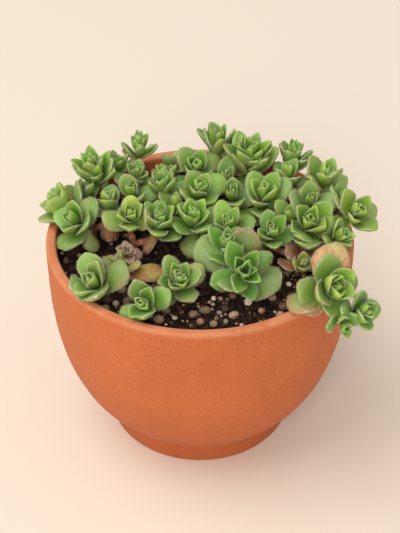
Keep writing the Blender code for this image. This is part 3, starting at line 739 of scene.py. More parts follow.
class Finish:
    """A material in the making."""

    def __init__(self, name):
        self.material = bpy.data.materials.new(name)
        self.material.use_nodes = True
        self.tree = self.material.node_tree
        self.place = self.node("ShaderNodeTexCoord", {}, output="Object")

    def fill(self, made, key, value):
        """Sets a node's socket, by its number or its name, or links a value to it."""
        socket = made.inputs[key.replace("_", " ") if isinstance(key, str) else key]
        if isinstance(value, Value):
            self.tree.links.new(value.socket, socket)
        else:
            socket.default_value = value

    def node(self, kind, settings, *inputs, output=0, **named):
        """A node of a kind, with its settings and the values or links of its sockets.

        The unnamed inputs fill its sockets in order, and None leaves one as it is.
        """
        made = self.tree.nodes.new(kind)
        for key, value in settings.items():
            setattr(made, key, value)
        for key, value in [*enumerate(inputs), *named.items()]:
            if value is not None:
                self.fill(made, key, value)
        return Value(self, made.outputs[output])

    def noise(self, scale, detail, roughness=0.5, stretch=None, place=None):
        """Soft noise over the piece. scale: how many waves to the metre."""
        place = place or self.place
        if stretch:
            place = self.node("ShaderNodeMapping", {}, place, Scale=stretch)
        return self.node(
            "ShaderNodeTexNoise", {}, output="Fac",
            Vector=place, Scale=scale, Detail=detail, Roughness=roughness,
        )

    def cells(self, scale):
        """The distance to scattered points. scale: how many to the metre."""
        return self.node(
            "ShaderNodeTexVoronoi", {}, output="Distance", Vector=self.place, Scale=scale
        )

    def band(self, value, low, high):
        """A mask that climbs from 0 to 1 between two values."""
        return self.node(
            "ShaderNodeMapRange", {"interpolation_type": "SMOOTHSTEP"}, value,
            From_Min=low, From_Max=high,
        )

    def carried(self, name, output="Fac"):
        """What the mesh carries under a name."""
        return self.node("ShaderNodeAttribute", {"attribute_name": name}, output=output)

    def mixed(self, share, first, second, way="MIX"):
        """Two colours mixed by a share. way: the Mix node's blending, such as MULTIPLY."""
        colours = [c if isinstance(c, Value) else (*c, 1) for c in (first, second)]
        return self.node(
            "ShaderNodeMix", {"data_type": "RGBA", "blend_type": way, "clamp_factor": True},
            share, None, None, None, None, None, *colours, output=2,
        )

    def coated(self, colour, *coats):
        """A colour under coats, each given as its share, its colour and, if need be, its way."""
        for share, *coat in coats:
            colour = self.mixed(share, colour, *coat)
        return colour

    def surface(self, height, strength, depth, **sockets):
        """The finished material, with a bump of a strength and depth and the shader's sockets."""
        shader = self.tree.nodes["Principled BSDF"]
        bump = self.node(
            "ShaderNodeBump", {}, output="Normal", Strength=strength, Distance=depth, Height=height
        )
        for name, value in {"Normal": bump, **sockets}.items():
            self.fill(shader, name, value)
        return self.material


def terracotta_finish(bowl):
    """Unglazed fired clay: fine throwing lines, specks, soft stains, a paler lip that is partly
    worn and partly painted highlight, and painted shade low down and in the crease over the foot.
    """
    finish = Finish("terracotta")
    top = POT_HEIGHT * METRES
    foot = FOOT_HEIGHT * METRES
    cloud = finish.noise(26, 4, 0.6)
    blotch = finish.noise(95, 5, 0.65)
    lines = finish.noise(60, 4, 0.7, stretch=(0.35, 0.35, 16))
    grit = finish.noise(2200, 3, 0.75)
    specks = 1 - finish.band(finish.cells(620), 0.05, 0.16)
    chance = finish.band(finish.noise(300, 1), 0.56, 0.66)
    height = finish.node("ShaderNodeSeparateXYZ", {}, finish.place, output="Z")
    # The lip: paler where it is worn, and with a painted highlight along it
    lip = finish.band(height, top - 0.0035, top - 0.0002)
    # Painted shade: darker toward the bottom of the bowl and over the foot
    low = finish.band(height, 0.08, 0.01)
    # Painted shade in the crease where the bowl meets the foot
    crease_shade = finish.band(height, foot - 0.0014, foot - 0.0002)
    crease_shade = crease_shade * finish.band(height, foot + 0.0022, foot)
    clay = finish.coated(
        bowl.clay_dark,
        (0.3 + 0.6 * finish.band(cloud, 0.28, 0.72), bowl.clay),
        (finish.band(blotch, 0.45, 0.8) * 0.3, bowl.clay_light),
        (finish.band(lines, 0.42, 0.62) * 0.12, bowl.clay_dark),
        (finish.band(grit, 0.5, 0.64) * 0.5, bowl.clay_light),
        (finish.band(grit, 0.5, 0.36) * 0.45, bowl.clay_deep_and_low_shade),
        (specks * chance * 0.5, CLAY_SPECK),
        # Painted shade, darker toward the bottom
        (low * 0.35, bowl.clay_deep_and_low_shade),
        (crease_shade * 0.75, CLAY_CREASE_SHADE),
        (lip * finish.band(blotch, 0.1, 0.7) * 0.6, bowl.clay_worn_and_highlight),
    )
    return finish.surface(
        lines * 0.4 + grit * 0.6 + blotch * 0.3, 0.5, 0.0004,
        Base_Color=clay, Roughness=0.72 + 0.2 * finish.band(blotch, 0.35, 0.7),
        Specular_IOR_Level=0.25, Sheen_Weight=0.03, Sheen_Roughness=0.6,
    )


def humus_finish(soil):
    """Near-black humus with brown fibres and tan specks."""
    finish = Finish("soil")
    clump = finish.noise(260, 4, 0.6)
    fibre = finish.noise(900, 3, 0.7, stretch=(1, 0.3, 1))
    specks = 1 - finish.band(finish.cells(700), 0.12, 0.2)
    chance = finish.band(finish.noise(500, 1), 0.52, 0.6)
    colour = finish.coated(
        soil.humus,
        (finish.band(clump, 0.44, 0.64), soil.humus_brown),
        (finish.band(fibre, 0.57, 0.66) * 0.8, soil.fibres),
        (specks * chance, soil.grit),
    )
    return finish.surface(
        clump + fibre * 0.6, 0.9, 0.0009,
        Base_Color=colour, Roughness=0.82 + 0.15 * clump, Specular_IOR_Level=0.2,
    )


def pumice_finish():
    """Granules of pumice and baked clay, each of its own colour, dusted with soil."""
    finish = Finish("pumice")
    pores = finish.cells(1500)
    dust = finish.noise(700, 4, 0.65)
    colour = finish.coated(
        finish.carried("tint", "Color"),
        (finish.band(dust, 0.5, 0.62) * 0.6, SOIL_DUST),
        ((1 - finish.band(pores, 0.1, 0.32)) * 0.5, PUMICE_PORE),
    )
    return finish.surface(
        pores * 0.7 + dust * 0.4, 0.6, 0.0004,
        Base_Color=colour, Roughness=0.85 + 0.1 * dust, Specular_IOR_Level=0.25,
    )


def bark_finish(stems):
    """Woody red-brown skin, pinker near the heads and paler on the scars of fallen leaves."""
    finish = Finish("bark")
    streak = finish.noise(420, 4, 0.65, stretch=(1, 1, 0.35))
    flake = finish.noise(1300, 3, 0.7)
    colour = finish.coated(
        stems.bark_dark,
        (finish.band(streak, 0.36, 0.66), stems.bark),
        (finish.carried("young") * 0.75, stems.young),
        (finish.carried("scar") * finish.band(flake, 0.3, 0.6) * 0.8, stems.scar),
    )
    return finish.surface(
        streak + flake * 0.5, 0.6, 0.0005,
        Base_Color=colour, Roughness=0.62 + 0.25 * flake, Specular_IOR_Level=0.35,
    )


def leaf_finish(name, leaves):
    """A fleshy leaf: its own tint, mottled, darker with painted shade in the crevices, a downy margin,
    bloom.
    """
    finish = Finish(name)
    aged = finish.carried("aged")
    leafwise = finish.node(
        "ShaderNodeCombineXYZ", {}, finish.carried("share") * 3, finish.carried("side") * 5, aged
    )
    veins = finish.noise(2.2, 3, 0.6, place=leafwise)
    mottle = finish.noise(520, 4, 0.6)
    blotch = finish.noise(260, 5, 0.7)
    grain = finish.noise(2400, 3, 0.6)
    dots = 1 - finish.band(finish.cells(1700), 0.06, 0.2)
    fresh = 1 - aged * 1.8
    # Painted shade: the colour darkens where neighbouring leaves crowd round
    crevice_shade = 1 - finish.node(
        "ShaderNodeAmbientOcclusion", {"samples": 4}, output="AO", Distance=CREVICE_SHADE_REACH
    )
    worn = finish.band(blotch * 0.6 + veins * 0.4 + aged * 0.08, 0.5, 0.64) * aged
    frayed = finish.band(blotch, 0.36, 0.6)
    rough_edge = finish.carried("edge") + (mottle - 0.5) * 1.1 + (grain - 0.5) * 0.6
    margin = finish.band(rough_edge, 0.4, 1.0)
    rim = finish.mixed(frayed, leaves.margin_red, leaves.margin)
    colour = finish.coated(
        finish.carried("tint", "Color"),
        (finish.band(mottle, 0.4, 0.64) * 0.55 * fresh, leaves.shade, "MULTIPLY"),
        (finish.band(veins, 0.45, 0.7) * 0.35 * fresh, leaves.shade, "MULTIPLY"),
        (finish.band(grain * 0.6 + mottle * 0.4, 0.47, 0.6) * 0.36, leaves.bloom),
        # Painted shade in the crevices
        (finish.band(crevice_shade, 0.12, 0.7) * 0.85, leaves.shade, "MULTIPLY"),
        (worn, leaves.withered),
        (dots * 0.2, leaves.shade, "MULTIPLY"),
        (margin * (0.22 + 0.5 * frayed), rim),
        (finish.carried("down"), leaves.down),
    )
    return finish.surface(
        grain + mottle * 0.8 + veins * 0.6, 0.5, 0.0003,
        Base_Color=colour, Roughness=0.27 + 0.22 * mottle + margin * 0.15 + aged * 0.2,
        Coat_Weight=0.12 * (1 - margin), Coat_Roughness=0.3, Specular_IOR_Level=0.4,
        Subsurface_Weight=0.06, Subsurface_Radius=(0.6, 1.0, 0.3), Subsurface_Scale=0.001,
        Sheen_Weight=0.04, Sheen_Roughness=0.5,
    )


# Meshes

def layered(*names, tint=False):
    """An empty bmesh whose vertices carry values under some names, and a tint where asked."""
    shape = bmesh.new()
    for name in names:
        shape.verts.layers.float.new(name)
    if tint:
        shape.verts.layers.float_color.new("tint")
    return shape


def finished_piece(name, shape, material, slot, *nodes):
    """A piece of the object, in metres, from a bmesh in millimetres."""
    bmesh.ops.scale(shape, vec=(METRES, METRES, METRES), verts=shape.verts)
    mesh = bpy.data.meshes.new(name)
    shape.to_mesh(mesh)
    shape.free()
    mesh.shade_smooth()
    mesh.materials.append(material)
    piece = bpy.data.objects.new(name, mesh)
    bpy.context.scene.collection.objects.link(piece)
    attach(piece, "root")
    if nodes:
        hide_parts(*nodes)
    return piece


def turned(profile):
    """A bmesh turned from a profile round the Z axis."""
    shape = bmesh.new()
    verts = [shape.verts.new((radius, 0, height)) for radius, height in profile]
    edges = [shape.edges.new(pair) for pair in zip(verts, verts[1:])]
    bmesh.ops.spin(
        shape, geom=verts + edges, cent=(0, 0, 0), axis=(0, 0, 1),
        angle=math.tau, steps=TURNED_SIDES, use_merge=True,
    )
    bmesh.ops.remove_doubles(shape, verts=shape.verts, dist=0.001)
    bmesh.ops.recalc_face_normals(shape, faces=shape.faces)
    return shape


def bowl_profile(lip_steps):
    """The bowl's outline from the middle of its underside round the lip to its inner floor."""
    low, high = FOOT_HEIGHT, POT_HEIGHT - 8
    shares = [(i / WALL_STEPS) ** 1.25 for i in range(WALL_STEPS + 1)]
    outer = [(bowl_radius(h), h) for h in (low + (high - low) * share for share in shares)]
    lip_height = POT_HEIGHT - LIP_ROUND
    inner = [wall_point(height, WALL) for height in INNER_HEIGHTS]
    return (
        [(0, 0), (20, 0), (40, 0)]
        + arc((FOOT_RADIUS - FOOT_EDGE, FOOT_EDGE), FOOT_EDGE, -90, 0, 4)
        + [(FOOT_RADIUS, 4), (FOOT_RADIUS, 8), (FOOT_RADIUS, FOOT_HEIGHT - 0.6)]
        + outer
        + arc((RIM_RADIUS - LIP_ROUND, lip_height), LIP_ROUND, 0, 90, lip_steps)
        + arc((RIM_RADIUS - WALL + LIP_ROUND, lip_height), LIP_ROUND, 90, 180, lip_steps)
        + inner
        + [(inner[-1][0] - 5, FLOOR_HEIGHT), (25, FLOOR_HEIGHT), (0, FLOOR_HEIGHT)]
    )


def throwing(point):
    """How far the turned wall stands proud of its true curve at a point."""
    spiral = math.sin(point.z * 2.6 + math.atan2(point.y, point.x))
    slow = noise.noise(Vector((point.x * 0.02, point.y * 0.02, point.z * 0.12)))
    return THROWING_LINES * spiral + THROWING_WAVES * slow


def crumbed_height(x, y):
    """The height of the soil's surface with its crumbs."""
    crumbs = noise.fractal(Vector((x * CRUMB_WAVES, y * CRUMB_WAVES, 4.0)), 0.7, 2.1, 4)
    reach = min(math.hypot(x, y) / (RIM_RADIUS - WALL), 1)
    relief = CRUMB_RELIEF * crumbs * min(1, 12 * (1 - reach))
    return soil_height(x, y) - CRUMB_SINK + relief


def lump(shape, centre, size, flat, rounds, draw):
    """One irregular rounded grain in a shape. Returns its vertices."""
    made = bmesh.ops.create_icosphere(shape, subdivisions=rounds, radius=size / 2)["verts"]
    turn = Matrix.Rotation(draw.uniform(0, math.tau), 3, "Z")
    tilt = Matrix.Rotation(draw.uniform(-0.5, 0.5), 3, "X")
    seed = Vector((draw.uniform(0, 99), draw.uniform(0, 99), draw.uniform(0, 99)))
    stretch = Vector((draw.uniform(0.85, 1.2), draw.uniform(0.8, 1.1), flat))
    for vert in made:
        swell = 1 + 0.3 * noise.noise(vert.co * (1.6 / size) + seed)
        point = Vector(a * b for a, b in zip(vert.co * swell, stretch))
        vert.co = centre + turn @ (tilt @ point)
    return made


def granule_places(draw):
    """Where the larger granules lie, as (spot, size)."""
    places = []
    while len(places) < GRANULE_COUNT:
        angle = draw.uniform(0, 360)
        front = abs(angle - FRONT) < LARGE_SPREAD
        reach = draw.uniform(46 if front else 58, 65)
        if front or draw.random() < 0.3:
            spot = compass(angle) * reach
            size = GRANULE_SIZE * draw.uniform(0.75, 1.1)
            taken = [(Vector((trunk.x, trunk.y, 0)), STEM_CLEARANCE) for trunk in TRUNKS]
            taken += [(other, GRANULES_APART) for other, _ in places]
            if all((spot - other).length > room for other, room in taken):
                places.append((spot, size))
    return places


def tinted(shape, verts, colour):
    """Gives vertices of a shape their own colour."""
    layer = shape.verts.layers.float_color["tint"]
    for vert in verts:
        vert[layer] = (*colour, 1)


def fine_tube(shape, curve, radius, rings=STEM_RINGS, tint=None, young=0.0):
    """Adds a round tube along a curve. curve and radius take the share of the way along.

    A head's neck gets a tint, and a stem gets its scars and how young its wood is.
    """
    first = len(shape.verts)
    made = bmesh.ops.create_cone(
        shape, cap_ends=True, cap_tris=False, segments=STEM_ROUND,
        radius1=1, radius2=1, depth=1,
    )["verts"]
    upright = {
        edge for vert in made for edge in vert.link_edges
        if abs(edge.verts[0].co.z - edge.verts[1].co.z) > 0.5
    }
    bmesh.ops.subdivide_edges(shape, edges=list(upright), cuts=rings)
    shape.verts.ensure_lookup_table()
    layers = shape.verts.layers
    for vert in shape.verts[first:]:
        share = vert.co.z + 0.5
        ahead = curve(min(share + 0.02, 1)) - curve(max(share - 0.02, 0))
        turn = Vector((0, 0, 1)).rotation_difference(ahead.normalized()).to_matrix()
        spread = turn @ Vector((vert.co.x, vert.co.y, 0))
        middle = curve(share)
        width, scar = radius(share, middle + spread)
        vert.co = middle + spread * width
        if tint:
            vert[layers.float_color["tint"]] = (*tint, 1)
        else:
            vert[layers.float["scar"]] = scar
            vert[layers.float["young"]] = share * young


# Leaf colours

LIME = srgb(190, 208, 64)
DEEP_GREEN = srgb(60, 148, 34)
BLUE_GREY = srgb(136, 164, 114)
PALE_EDGE = srgb(176, 206, 132)

# Heads that are yellower than the rest (above 0) or deeper green (below 0). An olive head
# that is named here has the fresh look's colours
HUES = {
    "head_bright_left": 0.62,
    "shoot_big_back": -0.55,
    "shoot_big_front": -0.55,
    "head_spiky_right": -0.4,
    "head_spiky_back": -0.3,
    "head_right": 0.25,
    "head_far_left": 0.15,
    "head_front_left": -0.1,
    "head_round": 0.1,
}

# Heads whose leaves are edged with red on one side: the compass angle of that side
RED_EDGED = {"head_big_front": 60}

# What a leaf looks like: its colours at the root, the middle and the tip, when it is old and
# along its rim, then how far it blushes and how withered it is. The fresh and grey looks' dark
# root colours are painted shade where a leaf's base lies hidden among the others
Look = namedtuple("Look", "root middle tip old rim blush aged")
LOOKS = {row[0]: Look(*(srgb(*colour) for colour in row[3:]), *row[1:3]) for row in (
    (FRESH, 0.12, 0.0, (24, 64, 0), (114, 176, 18), (152, 208, 56), (130, 172, 62), (186, 132, 100)),
    (GREY, 0.25, 0.05, (34, 74, 2), (116, 166, 38), (148, 192, 72), (146, 180, 98), (186, 134, 112)),
    (OLIVE, 0.3, 0.15, (130, 142, 46), (180, 192, 70), (170, 174, 66), (162, 162, 76), (170, 100, 74)),
    (ROSY, 0.5, 0.15, (170, 104, 96), (200, 142, 144), (176, 104, 106), (190, 128, 126), (222, 180, 176)),
    ("peach", 0.6, 0.26, (222, 160, 126), (222, 166, 126), (146, 180, 82), (206, 176, 130), (210, 140, 116)),
    ("streaked", 1.0, 0.65, (160, 100, 60), (170, 184, 78), (160, 130, 66), (166, 160, 74), (140, 66, 50)),
    ("brown", 0.6, 0.6, (150, 136, 66), (164, 112, 70), (150, 84, 56), (158, 104, 66), (120, 62, 46)),
    ("dried", 0.5, 0.08, (110, 40, 36), (140, 56, 50), (104, 38, 38), (122, 46, 44), (196, 116, 108)),
    ("pink", 0.6, 0.35, (150, 140, 70), (184, 132, 100), (170, 100, 84), (174, 122, 92), (160, 84, 72)),
    ("edged", 0.95, 0.1, (96, 140, 44), (136, 170, 78), (160, 164, 96), (142, 168, 92), (206, 108, 98)),
    ("green", 0.4, 0.08, (120, 156, 60), (152, 182, 88), (148, 172, 88), (158, 176, 108), (190, 132, 106)),
)}


def leaf_template():
    """One leaf as a blade of even steps and a comb of down along both margins."""
    shape = layered("share", "side")
    share, side = (shape.verts.layers.float[name] for name in ("share", "side"))
    blade = bmesh.ops.create_uvsphere(
        shape, u_segments=LEAF_ROUND, v_segments=LEAF_ALONG, radius=1
    )["verts"]
    for vert in blade:
        vert[share] = (1 + vert.co.z) / 2
    for edge in (-1, 1):
        for number in range(HAIRS):
            spike = bmesh.ops.create_cone(
                shape, cap_ends=True, cap_tris=True, segments=3,
                radius1=HAIR_WIDTH / 2, radius2=0.0, depth=HAIR_LENGTH,
            )["verts"]
            longer = 0.8 + 0.35 * math.sin(number * 2.4 + edge)
            for vert in spike:
                vert.co = Vector((vert.co.z * longer + 0.35 * HAIR_LENGTH, vert.co.x, vert.co.y))
                vert[share] = 0.2 + 0.79 * (number + 0.5) / HAIRS
                vert[side] = edge
    mesh = bpy.data.meshes.new("leaf_template")
    shape.to_mesh(mesh)
    shape.free()
    return mesh


def fine_outline(along, acute):
    """A leaf's half width at a share of its length, as a share of its greatest half width."""
    widest = 0.63 - 0.1 * acute
    if along < widest:
        return 0.4 + 0.6 * math.sin(math.pi / 2 * along / widest) ** 1.1
    fall = (along - widest) / (1 - widest)
    return max(0.0, 1 - fall ** (2.3 - 0.4 * acute)) ** (0.5 + 0.35 * acute)


Traits = namedtuple(
    "Traits", "look plain acute fold slimmer hollow dome wave lean warm light hue grey spots blush"
)


def leaf_traits(leaf, head, draw):
    """What one fine leaf is like: what its head and its look say, varied by random draws."""
    look = LOOKS[FRESH if head.name in HUES and leaf.look == OLIVE else leaf.look]
    if head.name in RED_EDGED and leaf.out.dot(compass(RED_EDGED[head.name])) > 0.8:
        look = LOOKS["edged"]
    plain = leaf.look in (FRESH, GREY, OLIVE)
    young = 1 - leaf.age
    acute = min(max((0.95 - head.slim) / 0.4, 0.2), 0.9) * (1 - 0.35 * leaf.age)
    wave = draw.uniform(0, math.tau)
    lean = draw.uniform(-0.05, 0.05)
    warm = draw.uniform(-0.12, 0.12)
    light = draw.uniform(0.8, 1.16)
    hue = HUES.get(head.name, random.Random(head.name + " hue").uniform(-0.35, 0.3))
    hue += draw.uniform(-0.12, 0.12)
    hue *= 1 if plain else 0.1
    grey = draw.uniform(0, 0.6) * leaf.age * (0.2 if hue < -0.4 else 1) * plain
    spots = look.aged + (draw.uniform(0.1, 0.45) if draw.random() < 0.4 * leaf.age else 0)
    blush = look.blush + (draw.uniform(0.2, 0.6) if draw.random() < 0.4 * leaf.age else 0)
    return Traits(
        look=look, plain=plain, acute=max(acute, 0.7 * young), fold=2 - 0.8 * young,
        slimmer=1 - (0.2 if head.slim < 0.73 else 0.1) * young,
        hollow=leaf.hollow + 0.25 * young - 0.2 * leaf.age,
        dome=(0.06 + 0.2 * leaf.age) * leaf.width / 2,
        wave=wave, lean=lean, warm=warm, light=light, hue=hue, grey=grey, spots=spots, blush=blush,
    )


def fine_section(leaf, traits, along):
    """A fine leaf at a share of its length: its spine, normal, outline, half width and curl."""
    spine, normal = midrib(leaf, along)
    spread = fine_outline(along, traits.acute)
    half = leaf.width / 2 * spread * traits.slimmer
    half *= 1 + 0.05 * leaf.age * math.sin(9 * along + traits.wave)
    curled = 0.08 * leaf.width * leaf.age * math.sin(7 * along + traits.wave)
    spine = spine + leaf.axis.cross(leaf.out) * (traits.lean * leaf.length * along ** 2)
    return spine, normal, spread, half, curled


def hair_point(leaf, traits, along, edge, point):
    """A point of a hair, moved from the template to the margin on one side of a fine leaf."""
    spine, normal, spread, half, curled = fine_section(leaf, traits, along)
    sideways = leaf.axis.cross(leaf.out)
    ahead = (midrib(leaf, min(along + 0.02, 1))[0] - midrib(leaf, along)[0]).normalized()
    fall = spread - fine_outline(min(along + 0.03, 1), traits.acute)
    slant = min(1.5, max(0.0, fall * leaf.width / (0.06 * leaf.length)))
    outward = (sideways * edge + ahead * slant).normalized()
    base = spine + sideways * (edge * (half - HAIR_SUNK))
    base = base + normal * (traits.hollow * half + curled)
    return base + outward * point.x + ahead * point.y + normal * (point.z + 0.15 * point.x)


def blade_point(leaf, traits, along, across, level):
    """A point of a fine leaf's blade, a share across it and above or below its middle."""
    spine, normal, spread, half, curled = fine_section(leaf, traits, along)
    close = min(1.0, math.sqrt(max(0.0, along / 0.05)))
    close *= min(1.0, math.sqrt(max(0.0, (1 - along) / 0.06)))
    height = (traits.hollow * half + curled) * abs(across) ** traits.fold
    if level > 0:
        height += (0.2 + 0.1 * leaf.thick) * level ** 0.7 * close
        height += traits.dome * spread * (1 - across ** 2)
    else:
        height -= leaf.thick * (0.4 + 0.6 * spread) * abs(level) ** 0.85 * close
    offset = half * across * (close if along < 0.3 else 1)
    return spine + leaf.axis.cross(leaf.out) * offset + normal * height


def leaf_colour(leaf, traits, along, across, level):
    """A fine leaf's colour at a place on it."""
    look = traits.look
    sound = 1 - look.aged
    # Darker at the root and lighter at the tip: the leaf's own change along it, deepened by painted shade at
    # the root and painted light at the tip
    colour = blend(look.root, look.middle, along / 0.6)
    colour = blend(colour, look.tip, (along - 0.6) / 0.4)
    colour = blend(colour, look.old, leaf.age * (0.8 if traits.plain else 0.35) + traits.warm)
    colour = blend(colour, LIME if traits.hue > 0 else DEEP_GREEN, abs(traits.hue) * sound)
    colour = blend(colour, BLUE_GREY, traits.grey * sound)
    if level < -0.2:
        colour = blend(colour, LIME, 0.3 * (1 - leaf.age) * sound)
        colour = blend(colour, look.rim, 0.15 * leaf.age)
    colour = blend(colour, PALE_EDGE, 0.42 * abs(across) ** 3 * sound * traits.plain)
    red = traits.blush * (abs(across) ** 5 + max(0, along - 0.75) * 1.5)
    colour = blend(colour, look.rim, red)
    return [value * traits.light for value in colour]


def fine_leaf(shape, leaf, head, template, draw):
    """Adds one fine leaf to a shape, moved from the template along the leaf's own curve."""
    if leaf.look == ROSY:
        leaf = leaf._replace(rise=leaf.rise - 18, length=leaf.length * 0.8)
    traits = leaf_traits(leaf, head, draw)
    first = len(shape.verts)
    shape.from_mesh(template)
    shape.verts.ensure_lookup_table()
    names = ("share", "side", "edge", "down", "aged")
    share, side, edge, down, aged = (shape.verts.layers.float[name] for name in names)
    tint = shape.verts.layers.float_color["tint"]
    for vert in shape.verts[first:]:
        along = min(max(vert[share], 0.0), 1.0)
        if vert[side]:
            across, level = 1, 0
            vert.co = hair_point(leaf, traits, along, vert[side], vert.co)
            vert[down] = 1
        else:
            flat = math.hypot(vert.co.x, vert.co.y) or 1
            across, level = vert.co.x / flat, vert.co.y / flat
            vert.co = blade_point(leaf, traits, along, across, level)
            vert[side] = across * 0.99
        vert[edge] = max(abs(across) ** 8, (along - 0.95) / 0.05)
        vert[tint] = (*leaf_colour(leaf, traits, along, across, level), 1)
        vert[aged] = traits.spots


def along_points(points):
    """A curve through points, by the share of the way along."""
    def curve(share):
        reach = share * (len(points) - 1)
        number = min(int(reach), len(points) - 2)
        return points[number].lerp(points[number + 1], reach - number)
    return curve


# Settings

def colour_setting(name, description, *default):
    """A colour that a user may change, its default in 0 to 255."""
    return FloatVectorProperty(
        name=name, description=description, subtype="COLOR", default=srgb(*default)
    )


class BowlSettings(bpy.types.PropertyGroup):
    lip_steps: IntProperty(
        name="Lip steps", description="Steps in each half of the rounded lip",
        default=6, min=2, max=16,
    )
    clay: colour_setting("Clay", "The fired clay", 207, 113, 63)
    clay_dark: colour_setting("Dark clay", "Darker clouds and throwing lines", 189, 98, 53)
    clay_light: colour_setting("Light clay", "Paler blotches", 221, 136, 86)
    # The darkest grains, and the painted shade low on the bowl
    clay_deep_and_low_shade: colour_setting("Deep clay", "The darkest grains", 160, 80, 46)
    # The worn lip, with a painted highlight along it
    clay_worn_and_highlight: colour_setting("Worn clay", "The rubbed edge of the lip", 232, 160, 122)


class SoilSettings(bpy.types.PropertyGroup):
    crumbs: IntProperty(
        name="Crumbs", description="How many loose crumbs of humus lie on the soil",
        default=1500, min=0, max=4000,
    )
    small_granules: IntProperty(
        name="Small granules", description="How many smaller granules lie between the large ones",
        default=330, min=0, max=800,
    )
    humus: colour_setting("Humus", "Near-black humus", 26, 20, 17)
    humus_brown: colour_setting("Brown humus", "Browner clumps", 66, 45, 34)
    fibres: colour_setting("Fibres", "Red-brown fibres", 112, 66, 48)
    grit: colour_setting("Grit", "Tan specks among the humus", 172, 134, 104)


class StemSettings(bpy.types.PropertyGroup):
    girth_share: FloatProperty(
        name="Girth", description="A stem's radius as a share of its rough shape's",
        default=0.86, min=0.5, max=1.0, subtype="FACTOR",
    )
    bark: colour_setting("Bark", "Red-brown bark", 140, 84, 62)
    bark_dark: colour_setting("Dark bark", "Darker streaks", 84, 50, 38)
    young: colour_setting("Young wood", "Pinker wood near the heads", 206, 122, 92)
    scar: colour_setting("Scars", "Where leaves fell off", 204, 148, 128)


class LeafSettings(bpy.types.PropertyGroup):
    margin: colour_setting("Margin", "The pale edge of each leaf", 214, 230, 184)
    margin_red: colour_setting("Red margin", "The rosy stretches of each leaf's edge", 196, 150, 120)
    down: colour_setting("Down", "The fine hairs along the edge", 226, 228, 196)
    withered: colour_setting("Withered", "The blotches on ageing leaves", 176, 100, 66)
    bloom: colour_setting("Bloom", "The pale waxy bloom", 182, 202, 138)
    # Multiplies the tint in the mottling, veins and dots, and as painted shade in the crevices
    shade: FloatVectorProperty(
        name="Mottling and painted shade", description="What the tint is multiplied by where it is darker",
        subtype="COLOR", default=(0.55, 0.68, 0.38),
    )


class StageSettings(bpy.types.PropertyGroup):
    floor: colour_setting("Floor", "The pale floor", 243, 230, 215)
    key_power: FloatProperty(
        name="Key light", description="Power of the large soft light on the left", default=64.0,
        min=0.0, subtype="POWER",
    )
    front_power: FloatProperty(
        name="Front light", description="Power of the wide soft light over the front",
        default=44.0, min=0.0, subtype="POWER",
    )
    fill: FloatProperty(
        name="Fill light", description="Strength of the even light all round",
        default=0.5, min=0.0,
    )
    focal_length: FloatProperty(
        name="Focal length", description="The camera's focal length", default=95.2, min=20.0,
        unit="CAMERA",
    )


# Operators

class CRASSULA_OT_bowl(bpy.types.Operator):
    """Make the turned terracotta bowl"""
    bl_idname = "crassula.bowl"
    bl_label = "Bowl"

    def execute(self, context):
        settings = context.scene.crassula_bowl
        shape = turned(bowl_profile(settings.lip_steps))
        for vert in shape.verts:
            radius = math.hypot(vert.co.x, vert.co.y)
            if radius > FOOT_RADIUS and FOOT_HEIGHT < vert.co.z < POT_HEIGHT - PLAIN_LIP:
                if abs(radius - bowl_radius(vert.co.z)) < 0.4:
                    swell = 1 + throwing(vert.co) / radius
                    vert.co.x *= swell
                    vert.co.y *= swell
        piece = finished_piece("bowl", shape, terracotta_finish(settings), "terracotta", "pot")
        piece.data.set_sharp_from_angle(angle=math.radians(SHARP_ANGLE))
        return {"FINISHED"}


